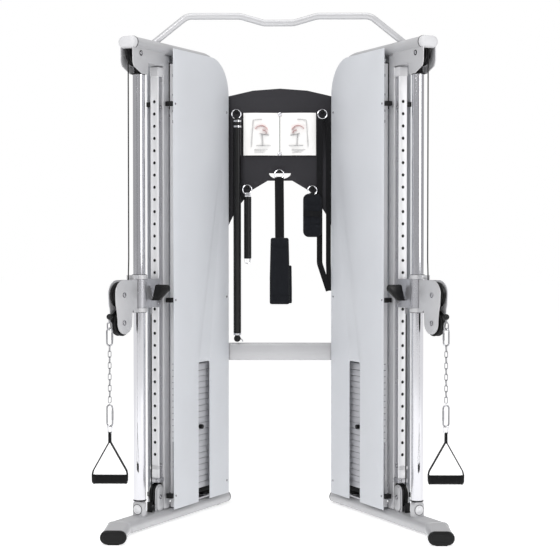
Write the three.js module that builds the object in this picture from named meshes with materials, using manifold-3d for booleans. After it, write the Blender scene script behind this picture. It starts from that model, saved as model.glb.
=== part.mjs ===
// Functional trainer: two toed-in weight towers joined by a rear crossbeam, an accessory
// board and a pull-up bar. Millimetres, +Z up, front towards -Y, floor at Z = 0.
import * as THREE from 'three';
import { mergeVertices } from 'three/addons/utils/BufferGeometryUtils.js';
import Module from 'manifold-3d';

const wasm = await Module();
wasm.setup();

// ---- driving dimensions -------------------------------------------------------------
const GAP = 0.3; // clearance between touching pieces
const TOE = THREE.MathUtils.degToRad(26.5); // each tower turns this far from fore-and-aft
const TOWER_X = 561; // guide tube axis to the middle of the machine

const FOOT_H = 4; // rubber under the base beam
const BEAM_W = 100;
const BEAM_H = 50;
const TUBE_WALL = 3;
const BEAM_REAR = 660; // distances along a tower are from the guide tube axis
const NOSE_BEND = -150; // where the base beam turns to the front
const NOSE_LENGTH = 172;

const TOP_Z = 1956; // centre line of the top tube
const TOP_W = 80;
const TOP_H = 48;
const TOP_END = -97; // front end of the top tube
const REAR_POST = 590; // centre line of the rear post
const REAR_RADIUS = 125;

const GUIDE_R = 24.5;
const GUIDE_BOTTOM = 114;
const GUIDE_TOP = TOP_Z - 116;

const POST_FRONT = 150; // front upright
const POST_D = 45;
const POST_W = 60;
const RAIL_FRONT = 114; // perforated rail on the front upright
const RAIL_W = 36;
const RAIL_T = 8;
const RAIL_BOTTOM = 189;
const RAIL_TOP = GUIDE_TOP + 1;
const HOLE_COUNT = 30;
const HOLE_PITCH = 50;
const HOLE_FIRST = 287;
const HOLE_R = 5;
const PIN_HOLE = 13; // the hole that the carriage pin rests in

const SLEEVE_R = 31;
const SLEEVE_BOTTOM = 896.5;
const SLEEVE_TOP = 1012.5;
const COLLAR_H = 17;
const RUN_CLEAR = 0.8; // sliding clearance on the guide tube

const ARM_YAW = THREE.MathUtils.degToRad(5.5); // the arm rests turned a little outward
const ARM_REACH = 120; // swivel axis to the arm pulleys
const ARM_UPPER_Z = 952;
const ARM_LOWER_Z = 841;
const ARM_PLATE_T = 4;

const PULLEY_R = 52;
const PITCH_R = 47;
const PULLEY_W = 22;
const AXLE_R = 5;
const BORE_CLEAR = 0.4;
const FORK_GAP = 5; // pulley flank to the plate beside it
const CABLE_R = 2.5;
const CABLE_STRAIGHTENS = 168; // the turned arm's cable is back in the tower's plane this far up
const GROOVE_CLEAR = 1.2; // cable to the bottom of a pulley's groove
const TOP_PULLEY_Z = TOP_Z - 39;
const TOP_FRONT = -30;
const RETURN_PITCH = 93;
const RETURN_Z = TOP_Z - 141;
const LOW_PITCH = 42;
const LOW_CENTRE = 130;
const LOW_Z = 121;

const STACK = 405; // middle of the weight stack
const PLATE_L = 290;
const PLATE_W = 80;
const PLATE_T = 25.4;
const LOWER_COUNT = 10;
const LIFTED_COUNT = 10;
const HEAD_T = 30;
const STACK_BOTTOM = 105;
const ROD_R = 9.5;
const ROD_SPREAD = 110;
const ROD_TOP = 1700;
const STEM_R = 10;
const STACK_PULLEY_RISE = 72; // head plate to the stack pulley's axle

const PANEL_N = 62; // shroud panel from the tower's middle plane
const PANEL_T = 4;
const PANEL_FRONT = 160;
const PANEL_REAR = 620;
const PANEL_BOTTOM = 56;
const PANEL_TOP = TOP_Z + 1;
const PANEL_RADIUS = 150;
const SLOT_HALF = 48;
const SLOT_TOP = 652;
const CLIP_HEIGHTS = [112, 923, 1731];

const BAR_R = 13.5; // pull-up bar
const BAR_Y = 114.6;
const BAR_Z = TOP_Z + 131;
const BAR_DIP = 28;
const BAR_END = TOWER_X - 42; // the bar is welded to the top tubes this far from the middle

const CROSS_HALF = TOWER_X - 231; // the towers' faces cut its ends
const CROSS_Y = 565;
const CROSS_Z = 678;
const CROSS_H = 75;
const CROSS_D = 50;
const BOARD_Y = 548;
const BOARD_T = 6;
const PEG_LENGTH = 36;
const PEG_R = 5;
const RING_BORE = 16;

const CHAIN_REACH = 188;
const BALL_R = 12;
const BALL_Z = 868;
const CHAIN_R = 4;
const STRAP_TOP = 436;
const STRAP_JOIN = 376;
const GRIP_Z = 228;
const GRIP_LENGTH = 134;
const GRIP_R = 17;
const GRIP_BORE = 14;

// ---- solids -------------------------------------------------------------------------
function toSolid(geometry) {
  const bare = geometry.clone();
  bare.deleteAttribute('normal');
  bare.deleteAttribute('uv');
  const merged = mergeVertices(bare.index ? bare.toNonIndexed() : bare, 1e-4);
  const vertProperties = Float32Array.from(merged.attributes.position.array);
  const triVerts = Uint32Array.from(merged.index.array);
  return new wasm.Manifold(new wasm.Mesh({ numProp: 3, vertProperties, triVerts }));
}

function toGeometry(solid) {
  const mesh = solid.getMesh();
  const geometry = new THREE.BufferGeometry();
  geometry.setAttribute('position', new THREE.BufferAttribute(mesh.vertProperties, 3));
  geometry.setIndex(new THREE.BufferAttribute(mesh.triVerts, 1));
  const flat = geometry.toNonIndexed();
  flat.computeVertexNormals();
  return flat;
}

function join(pieces, cutters = []) {
  const added = pieces.map(toSolid).reduce((a, b) => a.add(b));
  return toGeometry(cutters.map(toSolid).reduce((a, b) => a.subtract(b), added));
}

// A block between two corners.
function block(x0, x1, y0, y1, z0, z1) {
  const geometry = new THREE.BoxGeometry(x1 - x0, y1 - y0, z1 - z0);
  return geometry.translate((x0 + x1) / 2, (y0 + y1) / 2, (z0 + z1) / 2);
}

// A cylinder from one point to another.
function rod(radius, from, to, sides = 16) {
  const start = new THREE.Vector3(...from);
  const end = new THREE.Vector3(...to);
  const along = end.clone().sub(start);
  const geometry = new THREE.CylinderGeometry(radius, radius, along.length(), sides);
  const up = new THREE.Vector3(0, 1, 0);
  const turn = new THREE.Quaternion().setFromUnitVectors(up, along.clone().normalize());
  return geometry.applyQuaternion(turn).translate(...start.add(end).multiplyScalar(0.5).toArray());
}

function circle(radius, x = 0, y = 0, sides = 16) {
  const points = [];
  for (let i = 0; i < sides; i += 1) {
    const angle = (2 * Math.PI * i) / sides;
    points.push(new THREE.Vector2(x + radius * Math.cos(angle), y + radius * Math.sin(angle)));
  }
  return points;
}

// A ring standing on Z.
function ring(outer, inner, z0, z1, sides = 24) {
  const shape = new THREE.Shape(circle(outer, 0, 0, sides));
  shape.holes.push(new THREE.Path(circle(inner, 0, 0, sides)));
  return new THREE.ExtrudeGeometry(shape, { depth: z1 - z0, bevelEnabled: false }).translate(0, 0, z0);
}

// A plate with its outline in the (Y, Z) plane, between two X values.
function sidePlate(outline, x0, x1, holes = []) {
  const shape = new THREE.Shape(outline.map(([y, z]) => new THREE.Vector2(y, z)));
  holes.forEach((hole) => shape.holes.push(new THREE.Path(hole.map(([y, z]) => new THREE.Vector2(y, z)))));
  const geometry = new THREE.ExtrudeGeometry(shape, { depth: x1 - x0, bevelEnabled: false });
  const turn = new THREE.Matrix4().makeBasis(
    new THREE.Vector3(0, 1, 0), new THREE.Vector3(0, 0, 1), new THREE.Vector3(1, 0, 0));
  return geometry.applyMatrix4(turn).translate(x0, 0, 0);
}

// A plate with its outline in the (X, Z) plane, between two Y values.
function frontPlate(outline, y0, y1, holes = []) {
  const shape = new THREE.Shape(outline.map(([x, z]) => new THREE.Vector2(x, z)));
  holes.forEach((hole) => shape.holes.push(new THREE.Path(hole.map(([x, z]) => new THREE.Vector2(x, z)))));
  const geometry = new THREE.ExtrudeGeometry(shape, { depth: y1 - y0, bevelEnabled: false });
  return geometry.rotateX(Math.PI / 2).translate(0, y1, 0);
}

// Points of an arc, angles in degrees.
function arc(cx, cy, radius, from, to, count) {
  const points = [];
  for (let i = 0; i <= count; i += 1) {
    const angle = THREE.MathUtils.degToRad(from + ((to - from) * i) / count);
    points.push([cx + radius * Math.cos(angle), cy + radius * Math.sin(angle)]);
  }
  return points;
}

// A flat-oval section: x is its height and y its width.
function flatOval(width, height) {
  const side = (width - height) / 2;
  const half = [...arc(0, side, height / 2, 0, 180, 5), ...arc(0, -side, height / 2, 180, 360, 5)];
  return half.map(([x, y]) => new THREE.Vector2(x, y));
}

function flatOvalTube(width, height) {
  const shape = new THREE.Shape(flatOval(width, height));
  shape.holes.push(new THREE.Path(flatOval(width - 2 * TUBE_WALL, height - 2 * TUBE_WALL)));
  return shape;
}

// A curve that puts one section at each given point.
class Route extends THREE.Curve {
  constructor(points) {
    super();
    this.points = points.map((p) => new THREE.Vector3(...p));
  }

  getPoint(u) {
    const place = u * (this.points.length - 1);
    const i = Math.min(Math.floor(place), this.points.length - 2);
    return this.points[i].clone().lerp(this.points[i + 1], place - i);
  }

  getPointAt(u) {
    return this.getPoint(u);
  }

  getTangentAt(u) {
    const i = Math.round(u * (this.points.length - 1));
    const before = this.points[Math.max(i - 1, 0)];
    const after = this.points[Math.min(i + 1, this.points.length - 1)];
    return after.clone().sub(before).normalize();
  }
}

function sweep(shape, points) {
  const extrudePath = new Route(points);
  return new THREE.ExtrudeGeometry(shape, { steps: points.length - 1, extrudePath });
}

// Straight runs between points, with each inner corner rounded.
function rounded(points, radii, count = 5) {
  const path = [points[0]];
  for (let i = 1; i < points.length - 1; i += 1) {
    const corner = new THREE.Vector3(...points[i]);
    const back = new THREE.Vector3(...points[i - 1]).sub(corner);
    const ahead = new THREE.Vector3(...points[i + 1]).sub(corner);
    const cut = radii[i - 1] / Math.tan(back.angleTo(ahead) / 2);
    const start = corner.clone().addScaledVector(back.normalize(), cut);
    const end = corner.clone().addScaledVector(ahead.normalize(), cut);
    const bend = new THREE.QuadraticBezierCurve3(start, corner, end);
    bend.getPoints(count).forEach((p) => path.push(p.toArray()));
  }
  path.push(points[points.length - 1]);
  return path;
}

// ---- materials ----------------------------------------------------------------------
function finish(color, roughness, metalness) {
  return new THREE.MeshStandardMaterial({ color, roughness, metalness });
}

const SILVER = finish(0xbcbcc0, 0.45, 0.5);
const CHROME = finish(0xe4e6ea, 0.1, 1);
const BLACK = finish(0x202024, 0.6, 0);
const RUBBER = finish(0x2e2d33, 0.85, 0);
const PANEL = finish(0xdadce0, 0.35, 0);
const PLATE = finish(0xa9aab0, 0.4, 0.7);
const BOARD = finish(0x363539, 0.6, 0);
const FABRIC = finish(0x1a1a1e, 0.95, 0);

function part(name, geometry, material) {
  const mesh = new THREE.Mesh(geometry, material);
  mesh.name = name;
  return mesh;
}

// ---- tower pieces: X towards the machine's middle, Y to the rear, from the guide tube -
const BEAM_TOP = FOOT_H + BEAM_H;
const TOP_UNDER = TOP_Z - TOP_H / 2;
const NOSE = [Math.sin(TOE), -Math.cos(TOE)]; // straight ahead, seen from the tower
const FORK_IN = PULLEY_W / 2 + FORK_GAP;
const HEAD_TOP = STACK_BOTTOM + (LOWER_COUNT + LIFTED_COUNT) * PLATE_T + HEAD_T;
const LIFT_SPLIT = STACK_BOTTOM + LOWER_COUNT * PLATE_T;
const STACK_PULLEY_Z = HEAD_TOP + STACK_PULLEY_RISE;
const RETURN_CENTRE = STACK - PITCH_R - RETURN_PITCH;
const PIN_Z = HOLE_FIRST + PIN_HOLE * HOLE_PITCH;

function baseBeam() {
  const z = FOOT_H + BEAM_H / 2;
  const nose = [NOSE_LENGTH * NOSE[0], NOSE_BEND + NOSE_LENGTH * NOSE[1], z];
  const path = rounded([nose, [0, NOSE_BEND, z], [0, BEAM_REAR, z]], [150]);
  const tube = sweep(flatOvalTube(BEAM_W, BEAM_H), path);
  const seat = block(-24, 24, -8, 8, BEAM_TOP - 2, GUIDE_BOTTOM - GAP);
  const crown = arc(LOW_CENTRE - 10, LOW_Z + 12, 26, 180, 30, 6);
  const lugOutline = [[98, BEAM_TOP - 6], ...crown, [146, BEAM_TOP - 6]];
  const lugs = [-1, 1].map((side) => {
    const inner = PULLEY_W / 2 + 1;
    return sidePlate(lugOutline, side > 0 ? inner : -inner - 4, side > 0 ? inner + 4 : -inner);
  });
  const axle = rod(AXLE_R, [-16, LOW_CENTRE, LOW_Z], [16, LOW_CENTRE, LOW_Z]);
  return join([tube, seat, ...lugs, axle]);
}

function frontFoot() {
  const z = FOOT_H + BEAM_H / 2;
  const at = (length) => [length * NOSE[0], NOSE_BEND + length * NOSE[1], z];
  const section = new THREE.Shape(flatOval(BEAM_W + 3, BEAM_H + 3));
  const cap = sweep(section, [at(NOSE_LENGTH + GAP), at(NOSE_LENGTH + 14)]);
  const pad = block(-23, 23, -14, 46, 0, FOOT_H - GAP);
  const heel = block(-23, 23, -14, -GAP, 0, 20);
  [pad, heel].forEach((piece) => {
    piece.rotateZ(TOE).translate(NOSE_LENGTH * NOSE[0], NOSE_BEND + NOSE_LENGTH * NOSE[1], 0);
  });
  return join([cap, pad, heel]);
}

function rearFoot() {
  const outline = arc(0, 0, 24, 0, 330, 11).map(([x, y]) => new THREE.Vector2(x, y));
  const depth = FOOT_H - GAP;
  const geometry = new THREE.ExtrudeGeometry(new THREE.Shape(outline), { depth, bevelEnabled: false });
  return geometry.translate(0, BEAM_REAR - 55, 0);
}

function frontUpright() {
  const rear = POST_FRONT + POST_D;
  const half = POST_W / 2;
  const post = block(-half, half, POST_FRONT, rear, BEAM_TOP + GAP, TOP_UNDER - GAP);
  const core = block(TUBE_WALL - half, half - TUBE_WALL, POST_FRONT + TUBE_WALL, rear - TUBE_WALL, 0, TOP_Z);
  const rail = block(-RAIL_W / 2, RAIL_W / 2, RAIL_FRONT, RAIL_FRONT + RAIL_T, RAIL_BOTTOM, RAIL_TOP);
  const web = block(-13, 13, RAIL_FRONT + RAIL_T - 1, POST_FRONT + 1, RAIL_BOTTOM, RAIL_TOP);
  const cap = block(-20, 20, RAIL_FRONT - 2, POST_FRONT + 1, RAIL_TOP - 1, RAIL_TOP + 38);
  const shoe = block(-22, 22, RAIL_FRONT - 6, POST_FRONT + 1, RAIL_BOTTOM - 18, RAIL_BOTTOM + 1);
  const holes = [];
  for (let i = 0; i < HOLE_COUNT; i += 1) {
    const z = HOLE_FIRST + i * HOLE_PITCH;
    holes.push(rod(HOLE_R, [0, RAIL_FRONT - 2, z], [0, RAIL_FRONT + 14, z], 8));
  }
  const lowSlot = block(-15, 15, POST_FRONT - 5, rear - TUBE_WALL - 1, LOW_Z - 58, LOW_Z + 48);
  const highSlot = block(-15, 15, POST_FRONT + 9, rear + 5, RETURN_Z - 108, TOP_Z);
  return join([post, rail, web, cap, shoe], [core, ...holes, lowSlot, highSlot]);
}

function topFrameTube() {
  const corners = [[0, TOP_END, TOP_Z], [0, REAR_POST, TOP_Z], [0, REAR_POST, BEAM_TOP + GAP]];
  const tube = sweep(flatOvalTube(TOP_W, TOP_H), rounded(corners, [REAR_RADIUS], 5));
  const seatR = GUIDE_R - 0.5;
  const [lip, under] = [TOP_Z - 120, TOP_Z - 73];
  const gusset = [[-88, TOP_Z - 10], [-88, TOP_Z - 60], [-58, TOP_Z - 88], [-seatR, lip], [seatR, lip],
    [seatR, under], [POST_FRONT - GAP, under], [POST_FRONT - GAP, TOP_Z - 10]];
  const cheek = GUIDE_R + 1.5;
  const plates = [sidePlate(gusset, cheek, cheek + 4), sidePlate(gusset, -cheek - 4, -cheek)];
  const seat = block(-cheek - 1, cheek + 1, -seatR, seatR, GUIDE_TOP + GAP, GUIDE_TOP + 16);
  const hangers = [];
  const hang = (y, z, half) => {
    [FORK_IN - 4, -FORK_IN + 1].forEach((x) => {
      hangers.push(block(x, x + 3, y - half, y + half, z - half, TOP_UNDER + 1.5));
    });
    hangers.push(rod(AXLE_R, [-FORK_IN, y, z], [FORK_IN, y, z]));
  };
  hang(STACK, TOP_PULLEY_Z, 14);
  hang(RETURN_CENTRE, RETURN_Z, 14);
  const axle = rod(AXLE_R, [-31, TOP_FRONT, TOP_PULLEY_Z], [31, TOP_FRONT, TOP_PULLEY_Z]);
  const slots = [TOP_FRONT, STACK].map((y) => {
    const half = PULLEY_R + 4;
    return block(-12.4, 12.4, y - half, y + half, TOP_UNDER - 6, TOP_Z);
  });
  const body = toSolid(join([tube], slots));
  const rest = [...plates, seat, ...hangers, axle].map(toSolid);
  return toGeometry(rest.reduce((a, b) => a.add(b), body));
}

function guideTube() {
  return ring(GUIDE_R, GUIDE_R - TUBE_WALL, GUIDE_BOTTOM, GUIDE_TOP, 24);
}

function carriage() {
  const inner = GUIDE_R + RUN_CLEAR;
  const sleeve = ring(SLEEVE_R, inner, SLEEVE_BOTTOM, SLEEVE_TOP);
  const side = [[12, SLEEVE_BOTTOM], [125, SLEEVE_BOTTOM], [125, SLEEVE_TOP], [12, SLEEVE_TOP]];
  const walls = [sidePlate(side, 23, 28), sidePlate(side, -28, -23)];
  const bridges = [[SLEEVE_BOTTOM, 20], [SLEEVE_TOP - 20, 20]].map(([z, height]) => {
    return block(-24, 24, 27, 103, z, z + height);
  });
  const bore = rod(inner, [0, 0, SLEEVE_BOTTOM - 5], [0, 0, SLEEVE_TOP + 5], 24);
  const window = block(20, 32, 30, 66, PIN_Z - 11, PIN_Z + 14);
  return join([sleeve, ...walls, ...bridges], [bore, window]);
}

// The pin is drawn up to the rail's face, so that the carriage can slide.
function adjustLever() {
  const pin = rod(HOLE_R - BORE_CLEAR, [0, 48, PIN_Z], [0, RAIL_FRONT - GAP, PIN_Z], 12);
  const crossbar = block(-5, 36, 46, 58, PIN_Z - 6, PIN_Z + 7);
  const paddle = frontPlate([[31, 925], [62, 925], [108, 968], [109, 980], [102, 990], [48, 990]], 45, 60);
  return join([pin, crossbar, paddle]);
}

// The arm lies in its own plane: Y is minus the reach from the swivel axis.
function pulleyArm() {
  const outline = [[-37, 1011], [-ARM_REACH, 1011], ...arc(-ARM_REACH, 958, 53, 90, 180, 5).slice(1),
    [-168, 905], ...arc(-ARM_REACH + 5, ARM_LOWER_Z, 45, 172, 350, 8), [-68, 887], [-37, 887]];
  const plates = [FORK_IN, -FORK_IN - ARM_PLATE_T].map((x) => sidePlate(outline, x, x + ARM_PLATE_T));
  const collars = [
    [SLEEVE_TOP + GAP, SLEEVE_TOP + COLLAR_H],
    [SLEEVE_BOTTOM - COLLAR_H, SLEEVE_BOTTOM - GAP],
  ];
  const rings = collars.map(([z0, z1]) => ring(SLEEVE_R, GUIDE_R + RUN_CLEAR, z0, z1));
  const ties = collars.map(([z0, z1]) => block(-19, 19, -58, -26.5, z0, z1));
  const webs = [block(-FORK_IN - 1, FORK_IN + 1, -58, -37, SLEEVE_TOP - 12, SLEEVE_TOP + 6),
    block(-FORK_IN - 1, FORK_IN + 1, -58, -37, SLEEVE_BOTTOM - 9, SLEEVE_BOTTOM + 6)];
  const axles = [ARM_UPPER_Z, ARM_LOWER_Z].map((z) => {
    return rod(AXLE_R, [-19, -ARM_REACH, z], [19, -ARM_REACH, z]);
  });
  const bore = rod(GUIDE_R + RUN_CLEAR, [0, 0, SLEEVE_BOTTOM - 30], [0, 0, SLEEVE_TOP + 30], 24);
  return join([...plates, ...rings, ...ties, ...webs, ...axles], [bore]);
}

// A grooved pulley turning on X.
function pulley(pitch, y, z, width = PULLEY_W, sides = 16) {
  const rim = pitch + PULLEY_R - PITCH_R;
  const groove = pitch - CABLE_R - GROOVE_CLEAR;
  const bore = AXLE_R + BORE_CLEAR;
  const half = width / 2;
  const profile = [[bore, -half], [rim, -half], [rim, -half + 3], [groove, -CABLE_R], [groove, CABLE_R],
    [rim, half - 3], [rim, half], [bore, half], [bore, -half]];
  const geometry = new THREE.LatheGeometry(profile.map(([r, h]) => new THREE.Vector2(r, h)), sides);
  return geometry.rotateZ(-Math.PI / 2).translate(0, y, z);
}

function shroud(sign) {
  const lower = PANEL_BOTTOM;
  const outline = [[PANEL_FRONT, lower], [PANEL_REAR, lower],
    ...arc(PANEL_REAR - PANEL_RADIUS, PANEL_TOP - PANEL_RADIUS, PANEL_RADIUS, 0, 90, 8),
    [PANEL_FRONT, PANEL_TOP]];
  const x0 = sign > 0 ? PANEL_N : -PANEL_N - PANEL_T;
  const panel = sidePlate(outline, x0, x0 + PANEL_T);
  const clips = [];
  CLIP_HEIGHTS.forEach((z) => {
    const post = POST_W / 2 + GAP;
    const rear = TOP_W / 2 + GAP;
    clips.push(block(...span(sign, post, PANEL_N + 1), PANEL_FRONT - 12, PANEL_FRONT + 6, z - 10, z + 10));
    clips.push(block(...span(sign, rear, PANEL_N + 1), REAR_POST - 9, REAR_POST + 9, z - 10, z + 10));
  });
  const slot = block(PANEL_N - 5, PANEL_N + 10, STACK - SLOT_HALF, STACK + SLOT_HALF, 0, SLOT_TOP);
  return join([panel, ...clips], sign > 0 ? [slot] : []);
}

// A range on the chosen side of the middle plane.
function span(sign, from, to) {
  return sign > 0 ? [from, to] : [-to, -from];
}

function guideRods() {
  const spots = [STACK - ROD_SPREAD, STACK + ROD_SPREAD];
  const rods = spots.map((y) => rod(ROD_R, [0, y, BEAM_TOP + 2], [0, y, ROD_TOP - 2]));
  const base = block(-30, 30, STACK - 140, STACK + 140, BEAM_TOP + GAP, BEAM_TOP + 7);
  const stops = spots.map((y) => rod(26, [0, y, BEAM_TOP + 5], [0, y, STACK_BOTTOM - GAP]));
  const rear = REAR_POST - TOP_H / 2 - GAP;
  const top = block(-30, 30, STACK - 130, rear, ROD_TOP - 10, ROD_TOP);
  const runs = [STACK - PITCH_R, STACK + PITCH_R];
  const passages = runs.map((y) => rod(12, [0, y, ROD_TOP - 20], [0, y, ROD_TOP + 5]));
  return join([...rods, base, ...stops, top], passages);
}

function plateBlock(z0, z1) {
  return block(-PLATE_W / 2, PLATE_W / 2, STACK - PLATE_L / 2, STACK + PLATE_L / 2, z0, z1);
}

function rodHoles(z0, z1) {
  return [-ROD_SPREAD, ROD_SPREAD].map((d) => rod(ROD_R + 1, [0, STACK + d, z0], [0, STACK + d, z1]));
}

function lowerPlates() {
  const hole = rod(STEM_R + 2, [0, STACK, 0], [0, STACK, LIFT_SPLIT + 5]);
  return join([plateBlock(STACK_BOTTOM, LIFT_SPLIT - GAP)], [hole, ...rodHoles(0, LIFT_SPLIT + 5)]);
}

function liftedPlates() {
  const plates = plateBlock(LIFT_SPLIT, HEAD_TOP);
  const stem = rod(STEM_R, [0, STACK, STACK_BOTTOM + 12], [0, STACK, HEAD_TOP - 5]);
  const forks = [FORK_IN - 2, -FORK_IN - 2].map((x) => {
    return block(x, x + 4, STACK - 16, STACK + 16, HEAD_TOP - 2, STACK_PULLEY_Z + 16);
  });
  const axle = rod(AXLE_R, [-FORK_IN, STACK, STACK_PULLEY_Z], [FORK_IN, STACK, STACK_PULLEY_Z]);
  const pinHole = rod(5.4, [2, STACK, LIFT_SPLIT + PLATE_T / 2], [50, STACK, LIFT_SPLIT + PLATE_T / 2], 12);
  return join([plates, stem, ...forks, axle], [...rodHoles(LIFT_SPLIT - 5, HEAD_TOP + 5), pinHole]);
}

function selectorPin() {
  const z = LIFT_SPLIT + PLATE_T / 2;
  const half = PLATE_W / 2;
  const shank = rod(5, [4, STACK, z], [half + 3, STACK, z], 12);
  const head = rod(10, [half + GAP, STACK, z], [half + 19, STACK, z]);
  return join([shank, head]);
}

// The pull cable's centre line, from the hand end to its anchor under the carriage.
function cableRoute() {
  const inArm = ([y, z]) => [y * Math.sin(ARM_YAW), y * Math.cos(ARM_YAW), z];
  const inTower = ([y, z]) => [0, y, z];
  const toBall = new THREE.Vector2(ARM_REACH - CHAIN_REACH, BALL_Z - ARM_UPPER_Z);
  const leave = toBall.angle() + Math.acos(PITCH_R / toBall.length());
  const upper = arc(-ARM_REACH, ARM_UPPER_Z, PITCH_R, THREE.MathUtils.radToDeg(leave), 360, 4);
  const [y, z] = upper[0];
  const seat = new THREE.Vector2(y + CHAIN_REACH, z - BALL_Z).setLength(BALL_R + GAP);
  const drop = TOP_FRONT - PITCH_R;
  return [
    inArm([seat.x - CHAIN_REACH, BALL_Z + seat.y]),
    ...upper.map(inArm),
    inTower([drop, ARM_UPPER_Z + CABLE_STRAIGHTENS]),
    ...arc(TOP_FRONT, TOP_PULLEY_Z, PITCH_R, 180, 90, 5).map(inTower),
    ...arc(STACK, TOP_PULLEY_Z, PITCH_R, 90, 0, 5).map(inTower),
    ...arc(STACK, STACK_PULLEY_Z, PITCH_R, 0, -180, 9).map(inTower),
    ...arc(RETURN_CENTRE, RETURN_Z, RETURN_PITCH, 0, 180, 12).map(inTower),
    ...arc(LOW_CENTRE, LOW_Z, LOW_PITCH, 0, -180, 9).map(inTower),
    inTower([LOW_CENTRE - LOW_PITCH, SLEEVE_BOTTOM - GAP]),
  ];
}

function pullCable() {
  return sweep(new THREE.Shape(circle(CABLE_R, 0, 0, 8)), cableRoute());
}

// ---- handle: hangs below the arm, X across the machine --------------------------------
function chain() {
  const ball = new THREE.SphereGeometry(BALL_R, 12, 8).translate(0, 0, BALL_Z);
  const end = STRAP_TOP + GAP + CHAIN_R;
  const tip = new THREE.SphereGeometry(CHAIN_R, 12, 8).translate(0, 0, end);
  return join([ball, tip, rod(CHAIN_R, [0, 0, BALL_Z - 4], [0, 0, end], 8)]);
}

function handleStrap() {
  const half = GRIP_LENGTH / 2 + 1;
  const top = GRIP_Z + GRIP_R + 2;
  const outer = [[-4, STRAP_TOP], [-4, STRAP_JOIN], [-half - 5, top], [-half - 5, GRIP_Z - 5],
    [half + 5, GRIP_Z - 5], [half + 5, top], [4, STRAP_JOIN], [4, STRAP_TOP]];
  const inner = [[0, STRAP_JOIN - 8], [-half, top], [-half, GRIP_Z - 2], [half, GRIP_Z - 2], [half, top]];
  return frontPlate(outer, -12, 12, [inner]);
}

function handleGrip() {
  const tube = ring(GRIP_R, GRIP_BORE, -GRIP_LENGTH / 2, GRIP_LENGTH / 2, 16);
  return tube.rotateY(Math.PI / 2).translate(0, 0, GRIP_Z);
}

function handle(side) {
  const group = new THREE.Group();
  group.add(part(`chain_${side}`, chain(), CHROME));
  group.add(part(`handle_strap_${side}`, handleStrap(), FABRIC));
  group.add(part(`handle_grip_${side}`, handleGrip(), BLACK));
  group.position.set(0, -CHAIN_REACH, 0);
  group.rotation.z = TOE + ARM_YAW;
  return group;
}

function arm(side) {
  const group = new THREE.Group();
  group.add(part(`pulley_arm_${side}`, pulleyArm(), SILVER));
  group.add(part(`arm_pulley_upper_${side}`, pulley(PITCH_R, -ARM_REACH, ARM_UPPER_Z), BLACK));
  group.add(part(`arm_pulley_lower_${side}`, pulley(PITCH_R, -ARM_REACH, ARM_LOWER_Z), BLACK));
  group.add(handle(side));
  group.rotation.z = -ARM_YAW;
  return group;
}

function tower(side) {
  const group = new THREE.Group();
  const add = (name, geometry, material) => group.add(part(`${name}_${side}`, geometry, material));
  add('base_beam', baseBeam(), SILVER);
  add('front_foot', frontFoot(), RUBBER);
  add('rear_foot', rearFoot(), RUBBER);
  add('front_upright', frontUpright(), SILVER);
  add('top_frame_tube', topFrameTube(), SILVER);
  add('guide_tube', guideTube(), CHROME);
  add('carriage', carriage(), SILVER);
  add('adjust_lever', adjustLever(), BLACK);
  add('top_pulley', pulley(PITCH_R, TOP_FRONT, TOP_PULLEY_Z), BLACK);
  add('rear_pulley', pulley(PITCH_R, STACK, TOP_PULLEY_Z), BLACK);
  add('return_pulley', pulley(RETURN_PITCH, RETURN_CENTRE, RETURN_Z), BLACK);
  add('stack_pulley', pulley(PITCH_R, STACK, STACK_PULLEY_Z), BLACK);
  add('bottom_pulley', pulley(LOW_PITCH, LOW_CENTRE, LOW_Z), BLACK);
  add('inner_shroud', shroud(1), PANEL);
  add('outer_shroud', shroud(-1), PANEL);
  add('guide_rods', guideRods(), CHROME);
  add('lower_plates', lowerPlates(), PLATE);
  add('lifted_plates', liftedPlates(), PLATE);
  add('selector_pin', selectorPin(), BLACK);
  add('pull_cable', pullCable(), BLACK);
  group.add(arm(side));
  group.position.x = -TOWER_X;
  group.rotation.z = -TOE;
  return group;
}

// ---- shared pieces --------------------------------------------------------------------
// Blocks that fill each tower up to the rear face of its rear post.
function towerFaces() {
  const face = REAR_POST + TOP_H / 2 + GAP;
  const cutter = block(-300, 300, 0, face, 0, 2200).rotateZ(-TOE).translate(-TOWER_X, 0, 0);
  const other = block(-300, 300, 0, face, 0, 2200).rotateZ(TOE).translate(TOWER_X, 0, 0);
  return [cutter, other];
}

function pullUpBar() {
  const half = [[BAR_END, TOP_Z + 17], [376, BAR_Z], [158, BAR_Z], [60, BAR_Z - BAR_DIP]];
  const left = half.map(([x, z]) => [-x, BAR_Y, z]);
  const right = half.map(([x, z]) => [x, BAR_Y, z]).reverse();
  const path = rounded([...left, ...right], [60, 90, 70, 70, 90, 60], 4);
  const bar = sweep(new THREE.Shape(circle(BAR_R, 0, 0, 10)), path);
  return join([bar], [block(-TOWER_X - 139, TOWER_X + 139, 0, 250, TOP_Z - 56, TOP_Z + TOP_H / 2 + GAP)]);
}

function rearCrossbeam() {
  const tube = (shrink) => {
    const [d, h] = [CROSS_D / 2 - shrink, CROSS_H / 2 - shrink];
    return block(-CROSS_HALF, CROSS_HALF, CROSS_Y - d, CROSS_Y + d, CROSS_Z - h, CROSS_Z + h);
  };
  return join([tube(0)], [tube(TUBE_WALL), ...towerFaces()]);
}

const PEGS = [[-192, 1738], [187, 1738], [-144, 1407], [-3, 1474], [143, 1403]];

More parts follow.
